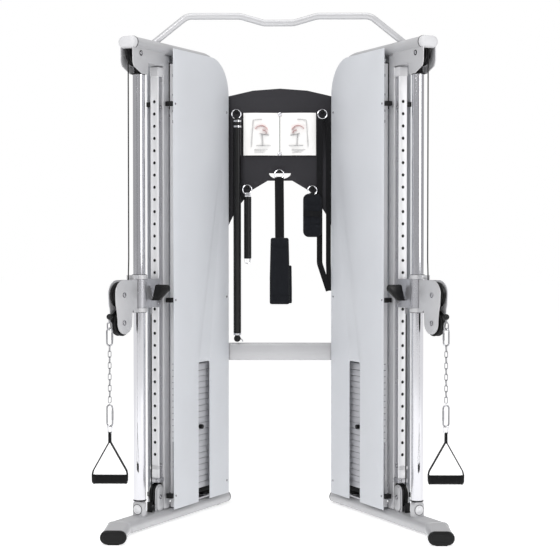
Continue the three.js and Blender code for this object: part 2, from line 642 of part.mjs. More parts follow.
function accessoryBoard() {
  const outline = [[-CROSS_HALF, 1238], [-227, 1238], [-203, 1287], [-172, 1334], [-130, 1389], [-54, 1434],
    [54, 1434], [130, 1389], [172, 1334], [203, 1287], [227, 1238], [CROSS_HALF, 1238], [CROSS_HALF, 1775],
    [228, 1806], [120, 1831], [0, 1840], [-120, 1831], [-228, 1806], [-CROSS_HALF, 1775]];
  const board = frontPlate(outline, BOARD_Y, BOARD_Y + BOARD_T);
  const pegs = PEGS.map(([x, z]) => rod(PEG_R, [x, BOARD_Y + 2, z], [x, BOARD_Y - PEG_LENGTH, z], 10));
  const chart = block(-161, 159, BOARD_Y - 6, BOARD_Y + 1, 1545, 1732);
  return join([board, ...pegs, chart], towerFaces());
}

// A ring that hangs on a peg, in the (X, Z) plane.
function hangRing(index) {
  const [x, z] = PEGS[index];
  const centre = z + PEG_R + 2 * GAP - RING_BORE;
  const outer = arc(x, centre, RING_BORE + 2.5, 0, 337.5, 15);
  const inner = arc(x, centre, RING_BORE, 0, 337.5, 15);
  return frontPlate(outer, BOARD_Y - 25, BOARD_Y - 21, [inner]);
}

function longBar() {
  const [x, z] = PEGS[0];
  const y = BOARD_Y - 23;
  const shaft = rod(15, [x + 4, y, z - 26], [x + 4, y, 762], 16);
  const swivel = rod(9, [x + 4, y, 764], [x + 4, y, 724], 12);
  return join([hangRing(0), shaft, swivel]);
}

function shortBar() {
  const [x, z] = PEGS[2];
  const y = BOARD_Y - 23;
  return join([hangRing(2), rod(15, [x + 2, y, z - 27], [x + 2, y, 1066], 16)]);
}

function crunchStrap() {
  const [x, z] = PEGS[3];
  const strap = block(x - 20, x + 20, BOARD_Y - 27, BOARD_Y - 19, 1170, z - 24);
  const pad = block(x - 42, x + 56, BOARD_Y - 40, BOARD_Y - 6, 889, 1177);
  return join([hangRing(3), strap, pad]);
}

function ankleCuff() {
  const [x, z] = PEGS[4];
  return join([hangRing(4), block(x - 41, x + 42, BOARD_Y - 36, BOARD_Y - 12, 1185, z - 24)]);
}

function strapLoop() {
  const [x, z] = PEGS[1];
  const outline = [[x - 25, z - 24], [x - 25, 1062], [x + 21, 942], [x + 40, 942], [x + 40, z - 24]];
  const gap = [[x + 11, 1500], [x + 11, 1100], [x + 14, 1040], [x + 17, 1100], [x + 17, 1500]];
  const band = frontPlate(outline, BOARD_Y - 10, BOARD_Y - 3, [gap]);
  const tab = block(x - 12, x + 12, BOARD_Y - 26, BOARD_Y - 4, z - 34, z - 25);
  return join([hangRing(1), band, tab]);
}

function machine() {
  const group = new THREE.Group();
  const mirrored = new THREE.Group();
  mirrored.scale.x = -1;
  mirrored.add(tower('right'));
  group.add(tower('left'), mirrored);
  group.add(part('pull_up_bar', pullUpBar(), SILVER));
  group.add(part('rear_crossbeam', rearCrossbeam(), SILVER));
  group.add(part('accessory_board', accessoryBoard(), BOARD));
  group.add(part('long_bar', longBar(), BLACK));
  group.add(part('short_bar', shortBar(), BLACK));
  group.add(part('crunch_strap', crunchStrap(), FABRIC));
  group.add(part('ankle_cuff', ankleCuff(), FABRIC));
  group.add(part('strap_loop', strapLoop(), FABRIC));
  return group;
}

// The origin is on the floor under the middle of the machine's box.
const model = machine();
model.updateMatrixWorld(true);
const box = new THREE.Box3().setFromObject(model, true);
model.position.set(0, -(box.min.y + box.max.y) / 2, 0);

export default model;
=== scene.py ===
import math

import bmesh
import bpy
from mathutils import Matrix, Vector

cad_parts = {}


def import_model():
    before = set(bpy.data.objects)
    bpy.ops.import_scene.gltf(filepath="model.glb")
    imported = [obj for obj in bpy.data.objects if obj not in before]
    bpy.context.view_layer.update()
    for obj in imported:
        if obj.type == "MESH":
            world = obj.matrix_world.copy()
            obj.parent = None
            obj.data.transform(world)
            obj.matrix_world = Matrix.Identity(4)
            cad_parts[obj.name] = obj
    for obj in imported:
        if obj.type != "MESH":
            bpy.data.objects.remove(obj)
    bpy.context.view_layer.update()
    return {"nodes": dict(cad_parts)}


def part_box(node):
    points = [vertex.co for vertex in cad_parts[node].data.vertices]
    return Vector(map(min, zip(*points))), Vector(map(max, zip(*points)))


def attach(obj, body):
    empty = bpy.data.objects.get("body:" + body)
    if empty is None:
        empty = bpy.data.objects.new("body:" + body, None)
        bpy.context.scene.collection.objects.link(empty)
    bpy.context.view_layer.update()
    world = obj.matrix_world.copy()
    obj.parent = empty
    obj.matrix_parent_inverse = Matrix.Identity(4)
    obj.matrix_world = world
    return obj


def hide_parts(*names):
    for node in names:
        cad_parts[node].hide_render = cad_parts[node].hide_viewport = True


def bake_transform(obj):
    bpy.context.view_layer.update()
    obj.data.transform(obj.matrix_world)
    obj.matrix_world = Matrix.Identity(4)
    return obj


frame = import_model()

MM = 0.001
SHARP = math.radians(40)  # corners above this are bevelled
TOE = math.radians(26.5)
ARM_YAW = math.radians(5.5)
low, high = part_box("guide_tube_left")
AXIS = Vector(((low[0] + high[0]) / 2, (low[1] + high[1]) / 2, 0))
low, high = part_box("chain_left")
HANDLE = Vector(((low[0] + high[0]) / 2, (low[1] + high[1]) / 2, 0))
SIDES = ("left", "right")


# ---- places ------------------------------------------------------------------------
def mirror(side, matrix):
    """The right side is the left one turned over in X."""
    return matrix if side == "left" else Matrix.Diagonal((-1, 1, 1, 1)) @ matrix


def tower(side):
    """Y runs back along the tower from the guide tube's axis."""
    return mirror(side, Matrix.Translation(AXIS) @ Matrix.Rotation(-TOE, 4, "Z"))


def arm(side):
    """As the tower, turned on by the arm's own angle."""
    return mirror(side, Matrix.Translation(AXIS) @ Matrix.Rotation(-TOE - ARM_YAW, 4, "Z"))


def handle(side):
    """On the axis of the hanging chain."""
    return mirror(side, Matrix.Translation(HANDLE))


# SIDEWAYS turns a flat outline into the (Y, Z) plane, FACING into (X, Z).
SHARED = Matrix.Translation((0, AXIS.y, 0))
SIDEWAYS = Matrix(((0, 0, 1, 0), (1, 0, 0, 0), (0, 1, 0, 0), (0, 0, 0, 1)))
FACING = Matrix(((1, 0, 0, 0), (0, 0, -1, 0), (0, 1, 0, 0), (0, 0, 0, 1)))


# ---- materials ---------------------------------------------------------------------
def srgb(code):
    """A hex colour in linear light."""
    values = [int(code[i : i + 2], 16) / 255 for i in (0, 2, 4)]
    return [v / 12.92 if v < 0.04045 else ((v + 0.055) / 1.055) ** 2.4 for v in values]


def material(name, code, rough, metal=0.0, vary=0.06, grain=900.0, bump=0.05, coat=0.0, sheen=0.0, ior=1.45,
             spec=0.5):
    mat = bpy.data.materials.new(name)
    mat.use_nodes = True
    nodes, links = mat.node_tree.nodes, mat.node_tree.links
    shader = nodes["Principled BSDF"]
    place = nodes.new("ShaderNodeTexCoord")
    cloud = nodes.new("ShaderNodeTexNoise")
    cloud.inputs["Scale"].default_value = 7.0
    cloud.inputs["Detail"].default_value = 6.0
    fine = nodes.new("ShaderNodeTexNoise")
    fine.inputs["Scale"].default_value = grain
    fine.inputs["Detail"].default_value = 3.0
    tint = nodes.new("ShaderNodeMixRGB")
    color = srgb(code)
    tint.inputs["Color1"].default_value = (*[c * (1 - vary) for c in color], 1)
    tint.inputs["Color2"].default_value = (*[min(1, c * (1 + vary)) for c in color], 1)
    wear = nodes.new("ShaderNodeMapRange")
    wear.inputs["To Min"].default_value = max(0.02, rough - 0.06)
    wear.inputs["To Max"].default_value = min(1.0, rough + 0.06)
    relief = nodes.new("ShaderNodeBump")
    relief.inputs["Strength"].default_value = bump
    relief.inputs["Distance"].default_value = 0.0004
    links.new(place.outputs["Object"], cloud.inputs["Vector"])
    links.new(place.outputs["Object"], fine.inputs["Vector"])
    links.new(cloud.outputs["Fac"], tint.inputs["Fac"])
    links.new(cloud.outputs["Fac"], wear.inputs["Value"])
    links.new(fine.outputs["Fac"], relief.inputs["Height"])
    links.new(tint.outputs["Color"], shader.inputs["Base Color"])
    links.new(wear.outputs["Result"], shader.inputs["Roughness"])
    links.new(relief.outputs["Normal"], shader.inputs["Normal"])
    shader.inputs["Metallic"].default_value = metal
    shader.inputs["Coat Weight"].default_value = coat
    shader.inputs["Sheen Weight"].default_value = sheen
    shader.inputs["IOR"].default_value = ior
    shader.inputs["Specular IOR Level"].default_value = spec
    return mat


def frosted(mat, share):
    """Lets part of the light through a panel."""
    nodes, links = mat.node_tree.nodes, mat.node_tree.links
    through = nodes.new("ShaderNodeBsdfTranslucent")
    through.inputs["Color"].default_value = (0.86, 0.88, 0.90, 1)
    both = nodes.new("ShaderNodeMixShader")
    both.inputs["Fac"].default_value = share
    links.new(nodes["Principled BSDF"].outputs["BSDF"], both.inputs[1])
    links.new(through.outputs["BSDF"], both.inputs[2])
    links.new(both.outputs["Shader"], nodes["Material Output"].inputs["Surface"])
    return mat


def woven(name, code, rough=0.85, rib=900.0):
    """A fabric: two crossed sets of fine ribs raise its surface."""
    mat = material(name, code, rough, vary=0.12, bump=0.0, sheen=0.08, spec=0.2)
    nodes, links = mat.node_tree.nodes, mat.node_tree.links
    shader = nodes["Principled BSDF"]
    place = nodes.new("ShaderNodeTexCoord")
    waves = []
    for direction in ("X", "Z"):
        wave = nodes.new("ShaderNodeTexWave")
        wave.bands_direction = direction
        wave.inputs["Scale"].default_value = rib
        wave.inputs["Distortion"].default_value = 0.6
        links.new(place.outputs["Object"], wave.inputs["Vector"])
        waves.append(wave)
    both = nodes.new("ShaderNodeMath")
    both.operation = "MULTIPLY"
    links.new(waves[0].outputs["Fac"], both.inputs[0])
    links.new(waves[1].outputs["Fac"], both.inputs[1])
    relief = nodes.new("ShaderNodeBump")
    relief.inputs["Strength"].default_value = 0.6
    relief.inputs["Distance"].default_value = 0.0008
    links.new(both.outputs["Value"], relief.inputs["Height"])
    links.new(relief.outputs["Normal"], shader.inputs["Normal"])
    return mat


SILVER = material("silver_coat", "c0c0c2", 0.36, metal=0.40, vary=0.04, coat=0.10)
PALE = material("pale_coat", "e8e8ea", 0.40, metal=0.10, vary=0.02)
STEEL = material("carriage_coat", "b0b0b4", 0.28, metal=0.75, vary=0.05)
LIGHT = material("light_plastic", "c9c9cb", 0.45, vary=0.03)
CHROME = material("chrome", "d6d6da", 0.10, metal=1.0, vary=0.03, bump=0.01)
ZINC = material("zinc", "9a9a9d", 0.26, metal=1.0, vary=0.12, bump=0.05)
PLATE = material("plate_coat", "c2c2c6", 0.45, metal=0.25, vary=0.06)
SHROUD = frosted(material("frosted_panel", "dcdee2", 0.42, vary=0.03, grain=500.0, bump=0.06), 0.22)
BOARD = material("board_coat", "29282c", 0.55, vary=0.08, grain=700.0, bump=0.15, spec=0.3)
BLACK = material("black_plastic", "0e0e0f", 0.38, vary=0.15, spec=0.3)
GLOSS = material("black_coat", "0c0c0d", 0.30, vary=0.12, spec=0.35)
RUBBER = material("rubber", "0f0f10", 0.62, vary=0.15, grain=400.0, bump=0.20, spec=0.25)
JACKET = material("cable_jacket", "0b0b0c", 0.40, vary=0.10, spec=0.3)
PAPER = material("paper", "f3f2f0", 0.80, vary=0.01, grain=300.0, bump=0.05)
INK_RED = material("ink_red", "a8352f", 0.80, vary=0.15)
INK_GREY = material("ink_grey", "5c5c60", 0.80, vary=0.15)
WEBBING = woven("webbing", "121214")
CUFF = woven("cuff_fabric", "14161b", rib=500.0)


# ---- mesh helpers, in millimetres ----------------------------------------------------
def build(name, shape, matrix, mat, body, replaces=(), angle=35):
    """Places a bmesh or a list of them as one object that rides on a CAD body."""
    parts = shape if isinstance(shape, list) else [shape]
    mesh = bpy.data.meshes.new(name)
    whole = bmesh.new()
    for bm in parts:
        piece = bpy.data.meshes.new("piece")
        bm.to_mesh(piece)
        bm.free()
        whole.from_mesh(piece)
        bpy.data.meshes.remove(piece)
    bmesh.ops.scale(whole, vec=(MM, MM, MM), verts=whole.verts)
    bmesh.ops.transform(whole, matrix=matrix, verts=whole.verts)
    bmesh.ops.recalc_face_normals(whole, faces=whole.faces)
    whole.to_mesh(mesh)
    whole.free()
    mesh.polygons.foreach_set("use_smooth", [True] * len(mesh.polygons))
    mesh.set_sharp_from_angle(angle=math.radians(angle))
    obj = bpy.data.objects.new(name, mesh)
    bpy.context.scene.collection.objects.link(obj)
    mesh.materials.append(mat)
    if body:
        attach(obj, body)
    if replaces:
        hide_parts(*replaces)
    return obj


def chamfer(bm, width, segments):
    """Bevels a box's edges by a width; none at zero."""
    if width <= 0:
        return bm
    edges = [e for e in bm.edges if len(e.link_faces) == 2 and e.calc_face_angle(0) > SHARP]
    bmesh.ops.bevel(bm, geom=edges, offset=width, segments=segments, profile=0.5, affect="EDGES",
                    clamp_overlap=True)
    return bm


def block(x0, x1, y0, y1, z0, z1, round_by=1.5, segments=2):
    bm = bmesh.new()
    bmesh.ops.create_cube(bm, size=1.0)
    for v in bm.verts:
        v.co = Vector(((x0, x1)[v.co.x > 0], (y0, y1)[v.co.y > 0], (z0, z1)[v.co.z > 0]))
    return chamfer(bm, round_by, segments)


def loft(rings, loop=False):
    """Skins a list of rings that have the same number of points, with both ends closed or as a loop."""
    bm = bmesh.new()
    rows = [[bm.verts.new(p) for p in ring] for ring in rings]
    count = len(rows[0])
    pairs = list(zip(rows, rows[1:])) + ([(rows[-1], rows[0])] if loop else [])
    for a, b in pairs:
        for i in range(count):
            j = (i + 1) % count
            bm.faces.new((a[i], a[j], b[j], b[i]))
    if not loop:
        bm.faces.new(list(reversed(rows[0])))
        bm.faces.new(rows[-1])
    return bm


def circle(radius, count=16):
    """Points about the origin."""
    return [(radius * math.cos(2 * math.pi * i / count), radius * math.sin(2 * math.pi * i / count))
            for i in range(count)]


def oval(width, height, count=10):
    """A flat-oval section: first value across its height, second along its width."""
    side, r = (width - height) / 2, height / 2
    half = [(r * math.sin(a), side + r * math.cos(a)) for a in [math.pi * (0.5 - i / count)
            for i in range(count + 1)]]
    return [(y, x) for y, x in half] + [(-y, -x) for y, x in half]


def slab_section(width, height, r=1.0):
    """A rectangle with cut corners."""
    w, h = width / 2, height / 2
    return [(-h, -w + r), (-h + r, -w), (h - r, -w), (h, -w + r), (h, w - r), (h - r, w), (-h + r, w),
            (-h, w - r)]


def sweep(points, section, hint=(0, 0, 1), loop=False):
    """Sweeps a section along points; the section's first value goes along the hint, mitred at corners."""
    pts = [Vector(p) for p in points]
    n = len(pts)
    rings, last = [], None
    for i, p in enumerate(pts):
        before = pts[i - 1] if (i or loop) else None
        after = pts[(i + 1) % n] if (i < n - 1 or loop) else None
        d_in = (p - before).normalized() if before is not None else None
        d_out = (after - p).normalized() if after is not None else None
        d_in = d_in or d_out
        d_out = d_out or d_in
        t = (d_in + d_out).normalized()
        a = Vector(hint) - t * t.dot(Vector(hint))
        a = a.normalized() if a.length > 0.05 else (last - t * t.dot(last)).normalized()
        last = a
        b = t.cross(a)
        bend = max(0.3, t.dot(d_in))
        turn = d_out - d_in
        stretch_a = stretch_b = 1.0
        if turn.length > 1e-6:
            turn.normalize()
            stretch_a = 1 + abs(turn.dot(a)) * (1 / bend - 1)
            stretch_b = 1 + abs(turn.dot(b)) * (1 / bend - 1)
        rings.append([p + a * (u * stretch_a) + b * (v * stretch_b) for u, v in section])
    return loft(rings, loop)


def rounded(points, radii, count=8):
    """A path whose inner corners are rounded."""
    pts = [Vector(p) for p in points]
    path = [pts[0]]
    for i in range(1, len(pts) - 1):
        corner, back, ahead = pts[i], (pts[i - 1] - pts[i]), (pts[i + 1] - pts[i])
        cut = radii[i - 1] / math.tan(back.angle(ahead) / 2)
        start, end = corner + back.normalized() * cut, corner + ahead.normalized() * cut
        for k in range(count + 1):
            u = k / count
            path.append(start * (1 - u) ** 2 + corner * 2 * u * (1 - u) + end * u * u)
    return path + [pts[-1]]


def arc(cy, cz, r, start, end, count):
    """Points on an arc, in degrees."""
    steps = [math.radians(start + (end - start) * i / count) for i in range(count + 1)]
    return [(cy + r * math.cos(a), cz + r * math.sin(a)) for a in steps]


def lathe(profile, centre, axis="X", count=64):
    """Turns a list of (radius, height) about an axis through the centre."""
    c = Vector(centre)
    rings = []
    for r, h in profile:
        ring = []
        for u, v in circle(max(r, 0.01), count):
            ring.append(c + Vector({"X": (h, u, v), "Y": (v, h, u), "Z": (u, v, h)}[axis]))
        rings.append(ring)
    return loft(rings)


def ring_lathe(profile, centre, axis="X", count=64):
    """Turns a closed outline, which leaves a bore."""
    c = Vector(centre)
    rings = []
    for r, h in profile:
        ring = [c + Vector({"X": (h, u, v), "Y": (v, h, u), "Z": (u, v, h)}[axis]) for u,
                v in circle(r, count)]
        rings.append(ring)
    return loft(rings, loop=True)


def disc(radius, centre, h0, h1, axis="Y", edge=0.8, count=32):
    return lathe([(radius - edge, h0), (radius, h0 + edge), (radius, h1 - edge), (radius - edge, h1)],
                 centre, axis, count)


def dome(radius, centre, height, axis="Y", sign=-1, count=32):
    steps = [math.radians(a) for a in (0, 15, 30, 45, 60, 75, 88)]
    return lathe([(radius * math.cos(a), sign * height * math.sin(a)) for a in steps], centre, axis, count)


def plate(outline, thickness, holes, edge, matrix, at):
    """A flat plate with a softened edge: outline in the plate's plane, holes cut through."""
    curve = bpy.data.curves.new("outline", "CURVE")
    curve.dimensions = "2D"
    curve.fill_mode = "BOTH"
    curve.extrude = thickness / 2 - edge
    curve.bevel_depth = edge
    curve.bevel_resolution = 1
    curve.offset = -edge
    for loop in [outline, *holes]:
        spline = curve.splines.new("POLY")
        spline.points.add(len(loop) - 1)
        spline.use_cyclic_u = True
        for point, (u, v) in zip(spline.points, loop):
            point.co = (u, v, 0, 1)
    obj = bpy.data.objects.new("outline", curve)
    bpy.context.scene.collection.objects.link(obj)
    bpy.context.view_layer.update()
    mesh = bpy.data.meshes.new_from_object(obj.evaluated_get(bpy.context.evaluated_depsgraph_get()))
    bpy.data.objects.remove(obj)
    bpy.data.curves.remove(curve)
    bm = bmesh.new()
    bm.from_mesh(mesh)
    bpy.data.meshes.remove(mesh)
    bmesh.ops.remove_doubles(bm, verts=bm.verts, dist=0.001)
    bmesh.ops.translate(bm, vec=(0, 0, thickness / 2 + at), verts=bm.verts)
    bmesh.ops.transform(bm, matrix=matrix, verts=bm.verts)
    return bm


def side_plate(outline, x0, x1, holes=(), edge=0.6):
    return plate(outline, x1 - x0, holes, edge, SIDEWAYS, x0)


def front_plate(outline, y0, y1, holes=(), edge=0.6):
    return plate(outline, y1 - y0, holes, edge, FACING, -y1)


def hole(x, z, r, count=20):
    return [(x + u, z + v) for u, v in circle(r, count)]


# ---- camera, floor, light ------------------------------------------------------------
camera = bpy.data.objects.new("camera", bpy.data.cameras.new("camera"))
camera.data.lens = 90
camera.data.sensor_width = 36
camera.location = (0.08, -5.791, 1.15)
camera.rotation_euler = (math.radians(88.57), 0, 0.0129)
bpy.context.scene.collection.objects.link(camera)
bpy.context.scene.camera = camera

floor_mesh = bpy.data.meshes.new("floor")
floor_mesh.from_pydata([(-30, -14, 0), (30, -14, 0), (30, 40, 0), (-30, 40, 0)], [], [(0, 1, 2, 3)])
floor = bpy.data.objects.new("floor", floor_mesh)
bpy.context.scene.collection.objects.link(floor)
floor_paint = material("floor_paint", "f4f4f4", 0.9, vary=0.01, bump=0.02)
floor_paint.node_tree.nodes["Principled BSDF"].inputs["Emission Color"].default_value = (1, 1, 1, 1)
floor_paint.node_tree.nodes["Principled BSDF"].inputs["Emission Strength"].default_value = 0.41
floor_mesh.materials.append(floor_paint)

world = bpy.data.worlds.new("world")
bpy.context.scene.world = world
world.use_nodes = True
w_nodes, w_links = world.node_tree.nodes, world.node_tree.links
w_nodes.clear()
seen = w_nodes.new("ShaderNodeBackground")
seen.inputs["Color"].default_value = (1, 1, 1, 1)
seen.inputs["Strength"].default_value = 1.0
room = w_nodes.new("ShaderNodeBackground")
room.inputs["Strength"].default_value = 0.75
grade = w_nodes.new("ShaderNodeValToRGB")
grade.color_ramp.elements[0].color = (0.62, 0.62, 0.63, 1)
grade.color_ramp.elements[1].color = (1, 1, 1, 1)
split = w_nodes.new("ShaderNodeSeparateXYZ")
where = w_nodes.new("ShaderNodeTexCoord")
path = w_nodes.new("ShaderNodeLightPath")
pick = w_nodes.new("ShaderNodeMixShader")
result = w_nodes.new("ShaderNodeOutputWorld")
w_links.new(where.outputs["Generated"], split.inputs[0])
w_links.new(split.outputs["Z"], grade.inputs["Fac"])
w_links.new(grade.outputs["Color"], room.inputs["Color"])
w_links.new(path.outputs["Is Camera Ray"], pick.inputs["Fac"])
w_links.new(room.outputs[0], pick.inputs[1])
w_links.new(seen.outputs[0], pick.inputs[2])
w_links.new(pick.outputs[0], result.inputs[0])


def area(name, place, target, size, power):
    """A rectangular lamp that looks at a target."""
    light = bpy.data.lights.new(name, "AREA")
    light.shape = "RECTANGLE"
    light.size, light.size_y = size
    light.energy = power
    obj = bpy.data.objects.new(name, light)
    obj.location = place
    obj.rotation_euler = (Vector(target) - Vector(place)).to_track_quat("-Z", "Y").to_euler()
    bpy.context.scene.collection.objects.link(obj)


area("key", (-2.6, -4.2, 3.6), (0, 0, 1.0), (2.0, 2.0), 95)
area("fill", (3.4, -3.4, 2.2), (0, 0, 1.0), (2.4, 2.4), 60)
area("top", (0, -0.4, 4.2), (0, 0, 0), (3.0, 2.0), 30)
bpy.context.scene.view_settings.view_transform = "Standard"

# ---- towers ----------------------------------------------------------------------------
NOSE = Vector((math.sin(TOE), -math.cos(TOE), 0))
BEAM_Z, BEAM_W, BEAM_H, BEAM_REAR = 29, 100, 50, 660
TOP_Z, TOP_W, TOP_H = 1956, 80, 48
POST_FOOT = 54.3  # where posts stand on the base beam
REAR_POST = 590
STACK = 405  # the weight stack's middle
PITCH = 47  # radius at which the cable runs on a pulley
AXLE_Y, AXLE_Z = -30, 1917  # front top pulley
RETURN_Y, RETURN_Z, RETURN_PITCH = 265, 1815, 93
LOW_Y, LOW_Z, LOW_PITCH = 130, 121, 42  # bottom pulley
STACK_WHEEL_Z = 715
ARM_REACH, ARM_UPPER_Z, ARM_LOWER_Z = 120, 952, 841
SLEEVE_LOW, SLEEVE_HIGH = 896.5, 1012.5
HOLE_FIRST, HOLE_PITCH, HOLE_COUNT, HOLE_R = 287, 50, 30, 6.6
BALL_R, BALL_Z, BALL_REACH = 12, 868, 188
GRIP_Z = 228
PLATE_COUNT, LIFTED_FROM, PLATE_T, STACK_FOOT = 20, 10, 25.4, 105
PIN_Z = 371.7
PANEL_N, PANEL_OUT = 62, 66  # inner and outer face of a shroud
CLIP_HEIGHTS = (112, 923, 1731)
CABLE_R, CABLE_SIDES = 2.5, 12
RUN_Y, ROUTE_Z = -77, 1095  # the cable in front of the tower; where the turned arm's cable joins it


def groove_wheel(rim, pitch, half=11, hub=14):
    """A grooved pulley with a recessed web, as a closed outline from bore to rim."""
    g = pitch - 3.4
    web = max(hub + 3, rim - 14)
    return [(5.4, -half + 1), (hub - 1, -half + 1), (hub, -half + 2), (hub + 1, -half + 5),
            (web - 1, -half + 5),
            (web + 1, -half), (rim - 1, -half), (rim, -half + 1), (rim, -half + 2), (g + 2, -3.2), (g, -2),
            (g, 2),
            (g + 2, 3.2), (rim, half - 2), (rim, half - 1), (rim - 1, half), (web + 1, half),
            (web - 1, half - 5),
            (hub + 1, half - 5), (hub, half - 2), (hub - 1, half - 1), (5.4, half - 1)]


def bolt(centre, r, axis="X", sign=1):
    """A washer and a domed head."""
    return [disc(r * 1.35, centre, *sorted((0, sign * 1.6)), axis=axis, edge=0.3),
            dome(r, Vector(centre) + Vector({"X": (sign * 1.6, 0, 0), "Y": (0, sign * 1.6, 0),
            "Z": (0, 0, sign * 1.6)}[axis]),
                 r * 0.55, axis, sign)]


def cord(points):
    """A run of the cable in its tower's plane."""
    return sweep(points, circle(CABLE_R, CABLE_SIDES), (1, 0, 0))


def base(side):
    """Base beam, its caps and pads, the guide tube's foot and the bottom pulley's mount."""
    T, S = tower(side), f"_{side}"
    corner = Vector((0, -150, BEAM_Z))
    nose_end = corner + NOSE * 172
    section = oval(BEAM_W, BEAM_H)
    build("base_beam_tube" + S, sweep([nose_end, corner, (0, BEAM_REAR, BEAM_Z)], section), T, SILVER,
          "frame", ["base_beam" + S])
    across = (NOSE + Vector((0, -1, 0))).normalized().cross(Vector((0, 0, 1)))
    bead = [corner + across * (v * 1.027) + Vector((0, 0, u)) for u, v in oval(100.5, 50.5)]
    build("nose_weld" + S, sweep(bead, circle(1.1, 8), hint=(0, 1, 0.01), loop=True), T, SILVER, "frame")
    cap = []
    for length, shrink in ((-1, 0), (0.5, -1.5), (10, -1.5), (13, 1), (14, 4), (14, 8), (11.5, 11),
                           (11.5, 15)):
        at = nose_end + NOSE * (length + 0.3)
        side_v = NOSE.cross(Vector((0, 0, 1)))
        cap.append([at + side_v * v + Vector((0, 0, u)) for u,
                    v in oval(BEAM_W - 2 * shrink, BEAM_H - 2 * shrink)])
    build("beam_cap" + S, loft(cap), T, BLACK, "frame", ["front_foot" + S])
    world_T = T @ Matrix.Translation(nose_end * MM) @ Matrix.Rotation(TOE, 4, "Z")
    build("front_pad" + S, [block(-23, 23, -13, 46, -28.8, -24.5, 1.0)], world_T, RUBBER, "frame")
    build("rear_pad" + S, disc(24, (0, 605, 0), 0.2, 3.8, "Z"), T, RUBBER, "frame", ["rear_foot" + S])
    build("mid_pad" + S, block(-20, 20, -60, -20, 0.2, 4.5, 1.0), T, RUBBER, "frame")
    rear_cap = []
    for length, shrink in ((0, 0), (6, 0), (9, 3)):
        rear_cap.append([Vector((v, BEAM_REAR + length, BEAM_Z + u)) for u,
                         v in oval(BEAM_W - 2 * shrink, BEAM_H - 2 * shrink)])
    build("beam_rear_cap" + S, loft(rear_cap), T, BLACK, "frame")
    tab = [(-23, 52), (-23, 96), *[(-9 + 14 * math.cos(a), 100 + 14 * math.sin(a))
            for a in [math.radians(d) for d in range(180, 89, -15)]],
           *[(9 + 14 * math.cos(a), 100 + 14 * math.sin(a))
             for a in [math.radians(d) for d in range(90, -1, -15)]], (23, 96), (23, 52)]
    build("tube_tab" + S, [front_plate(tab, -18, 14, edge=2.0)], T, SILVER, "frame")
    build("tab_bolt" + S, [disc(19, (0, -18, 81), -2.5, 0, "Y", 0.9), dome(13, (0, -20.5, 81), 7, "Y", -1)],
          T, PALE, "frame")
    # A thin black ring round the tab bolt's washer: painted shade standing in for a shaded recess round the
    # bolt.
    build("tab_bolt_painted_shade" + S, ring_lathe([(19.3, -18.6), (21.5, -18.6), (21.5, -17.6), (19.3, -17.6)],
            (0, 0, 81), "Y", 48), T, BLACK, "frame")
    lug = [(92, 52), *arc(122, 133, 30, 180, 30, 10), (148, 52)]
    for x, n in ((13, "a"), (-17, "b")):
        build(f"pulley_lug_{n}" + S, side_plate(lug, x, x + 4), T, SILVER, "frame")
    cover = [*arc(122, 76, 24, 180, 360, 10), *arc(122, 132, 24, 0, 180, 10)]
    build("pulley_cover" + S, side_plate(cover, 17.2, 22, edge=1.6), T, SILVER, "frame")
    build("cover_bolt" + S, bolt((22, 122, 112), 7), T, ZINC, "frame")
    build("pulley_guard" + S, front_plate([(-12, 54.5), (-12, 96), (12, 96), (12, 54.5)], 72, 76, edge=0.8),
          T, BLACK, "frame")


def upright(side):
    """Front post with the perforated rail, and a sheet painted with the light and shade that show in the
    gap beside it.
    """
    T, S = tower(side), f"_{side}"
    build("front_post" + S, block(-30, 22, 150, 195, POST_FOOT, 1931.7, 4, 3), T, SILVER, "frame",
          ["front_upright" + S])
    holes = [hole(0, HOLE_FIRST + HOLE_PITCH * i, HOLE_R) for i in range(HOLE_COUNT)]
    rail = [(-18, 189), (18, 189), (18, 1841), (-18, 1841)]
    build("rail_face" + S, front_plate(rail, 114, 122, holes, edge=1.0), T, PALE, "frame", angle=30)
    build("rail_web" + S, block(-14, 14, 121.5, 151, 189, 1841, 0.6, 1), T, STEEL, "frame")
    # A black strip inside the rail's face, behind its holes: painted shade that makes the holes look dark
    # inside.
    build("rail_hole_painted_shade" + S, block(-8, 8, 116, 122.2, 191, 1839, 0.2, 1), T, BLACK, "frame")
    build("rail_cap" + S, block(-20, 20, 112, 151, 1840, 1879, 3, 3), T, LIGHT, "frame")
    build("rail_shoe" + S, block(-22, 22, 108, 151, 171, 190, 3, 3), T, STEEL, "frame")
    build("rail_bolts" + S, bolt((-15, 136, 1716), 6, "X", -1) + bolt((15, 136, 1716),
            6) + bolt((15, 136, 240), 6), T, ZINC, "frame")
    build("rail_stop" + S, block(-21, 21, 106, 116, 226, 240, 2), T, LIGHT, "frame")
    # A pale sheet just behind the post: painted light for the lit inside of the tower seen through the gap.
    # The marks on it paint the darker shapes and shade seen through the gap.
    build("gap_painted_light" + S, block(23, 61, 199, 201, 58, 1900, 0.3, 1), T, PALE, "frame")
    marks = [block(34, 54, 196.5, 199.5, 103, 331, 0.5, 1)]
    marks += [block(32, 58, 198, 199.5, 345 + 25.7 * i, 348 + 25.7 * i, 0.3, 1) for i in range(13)]
    marks += [block(36, 56, 196.5, 199.5, z, z + high, 1, 1) for z,
              high in ((1845, 12), (1768, 8), (1700, 10), (1655, 12))]
    build("gap_painted_shapes" + S, marks, T, STEEL, "frame")


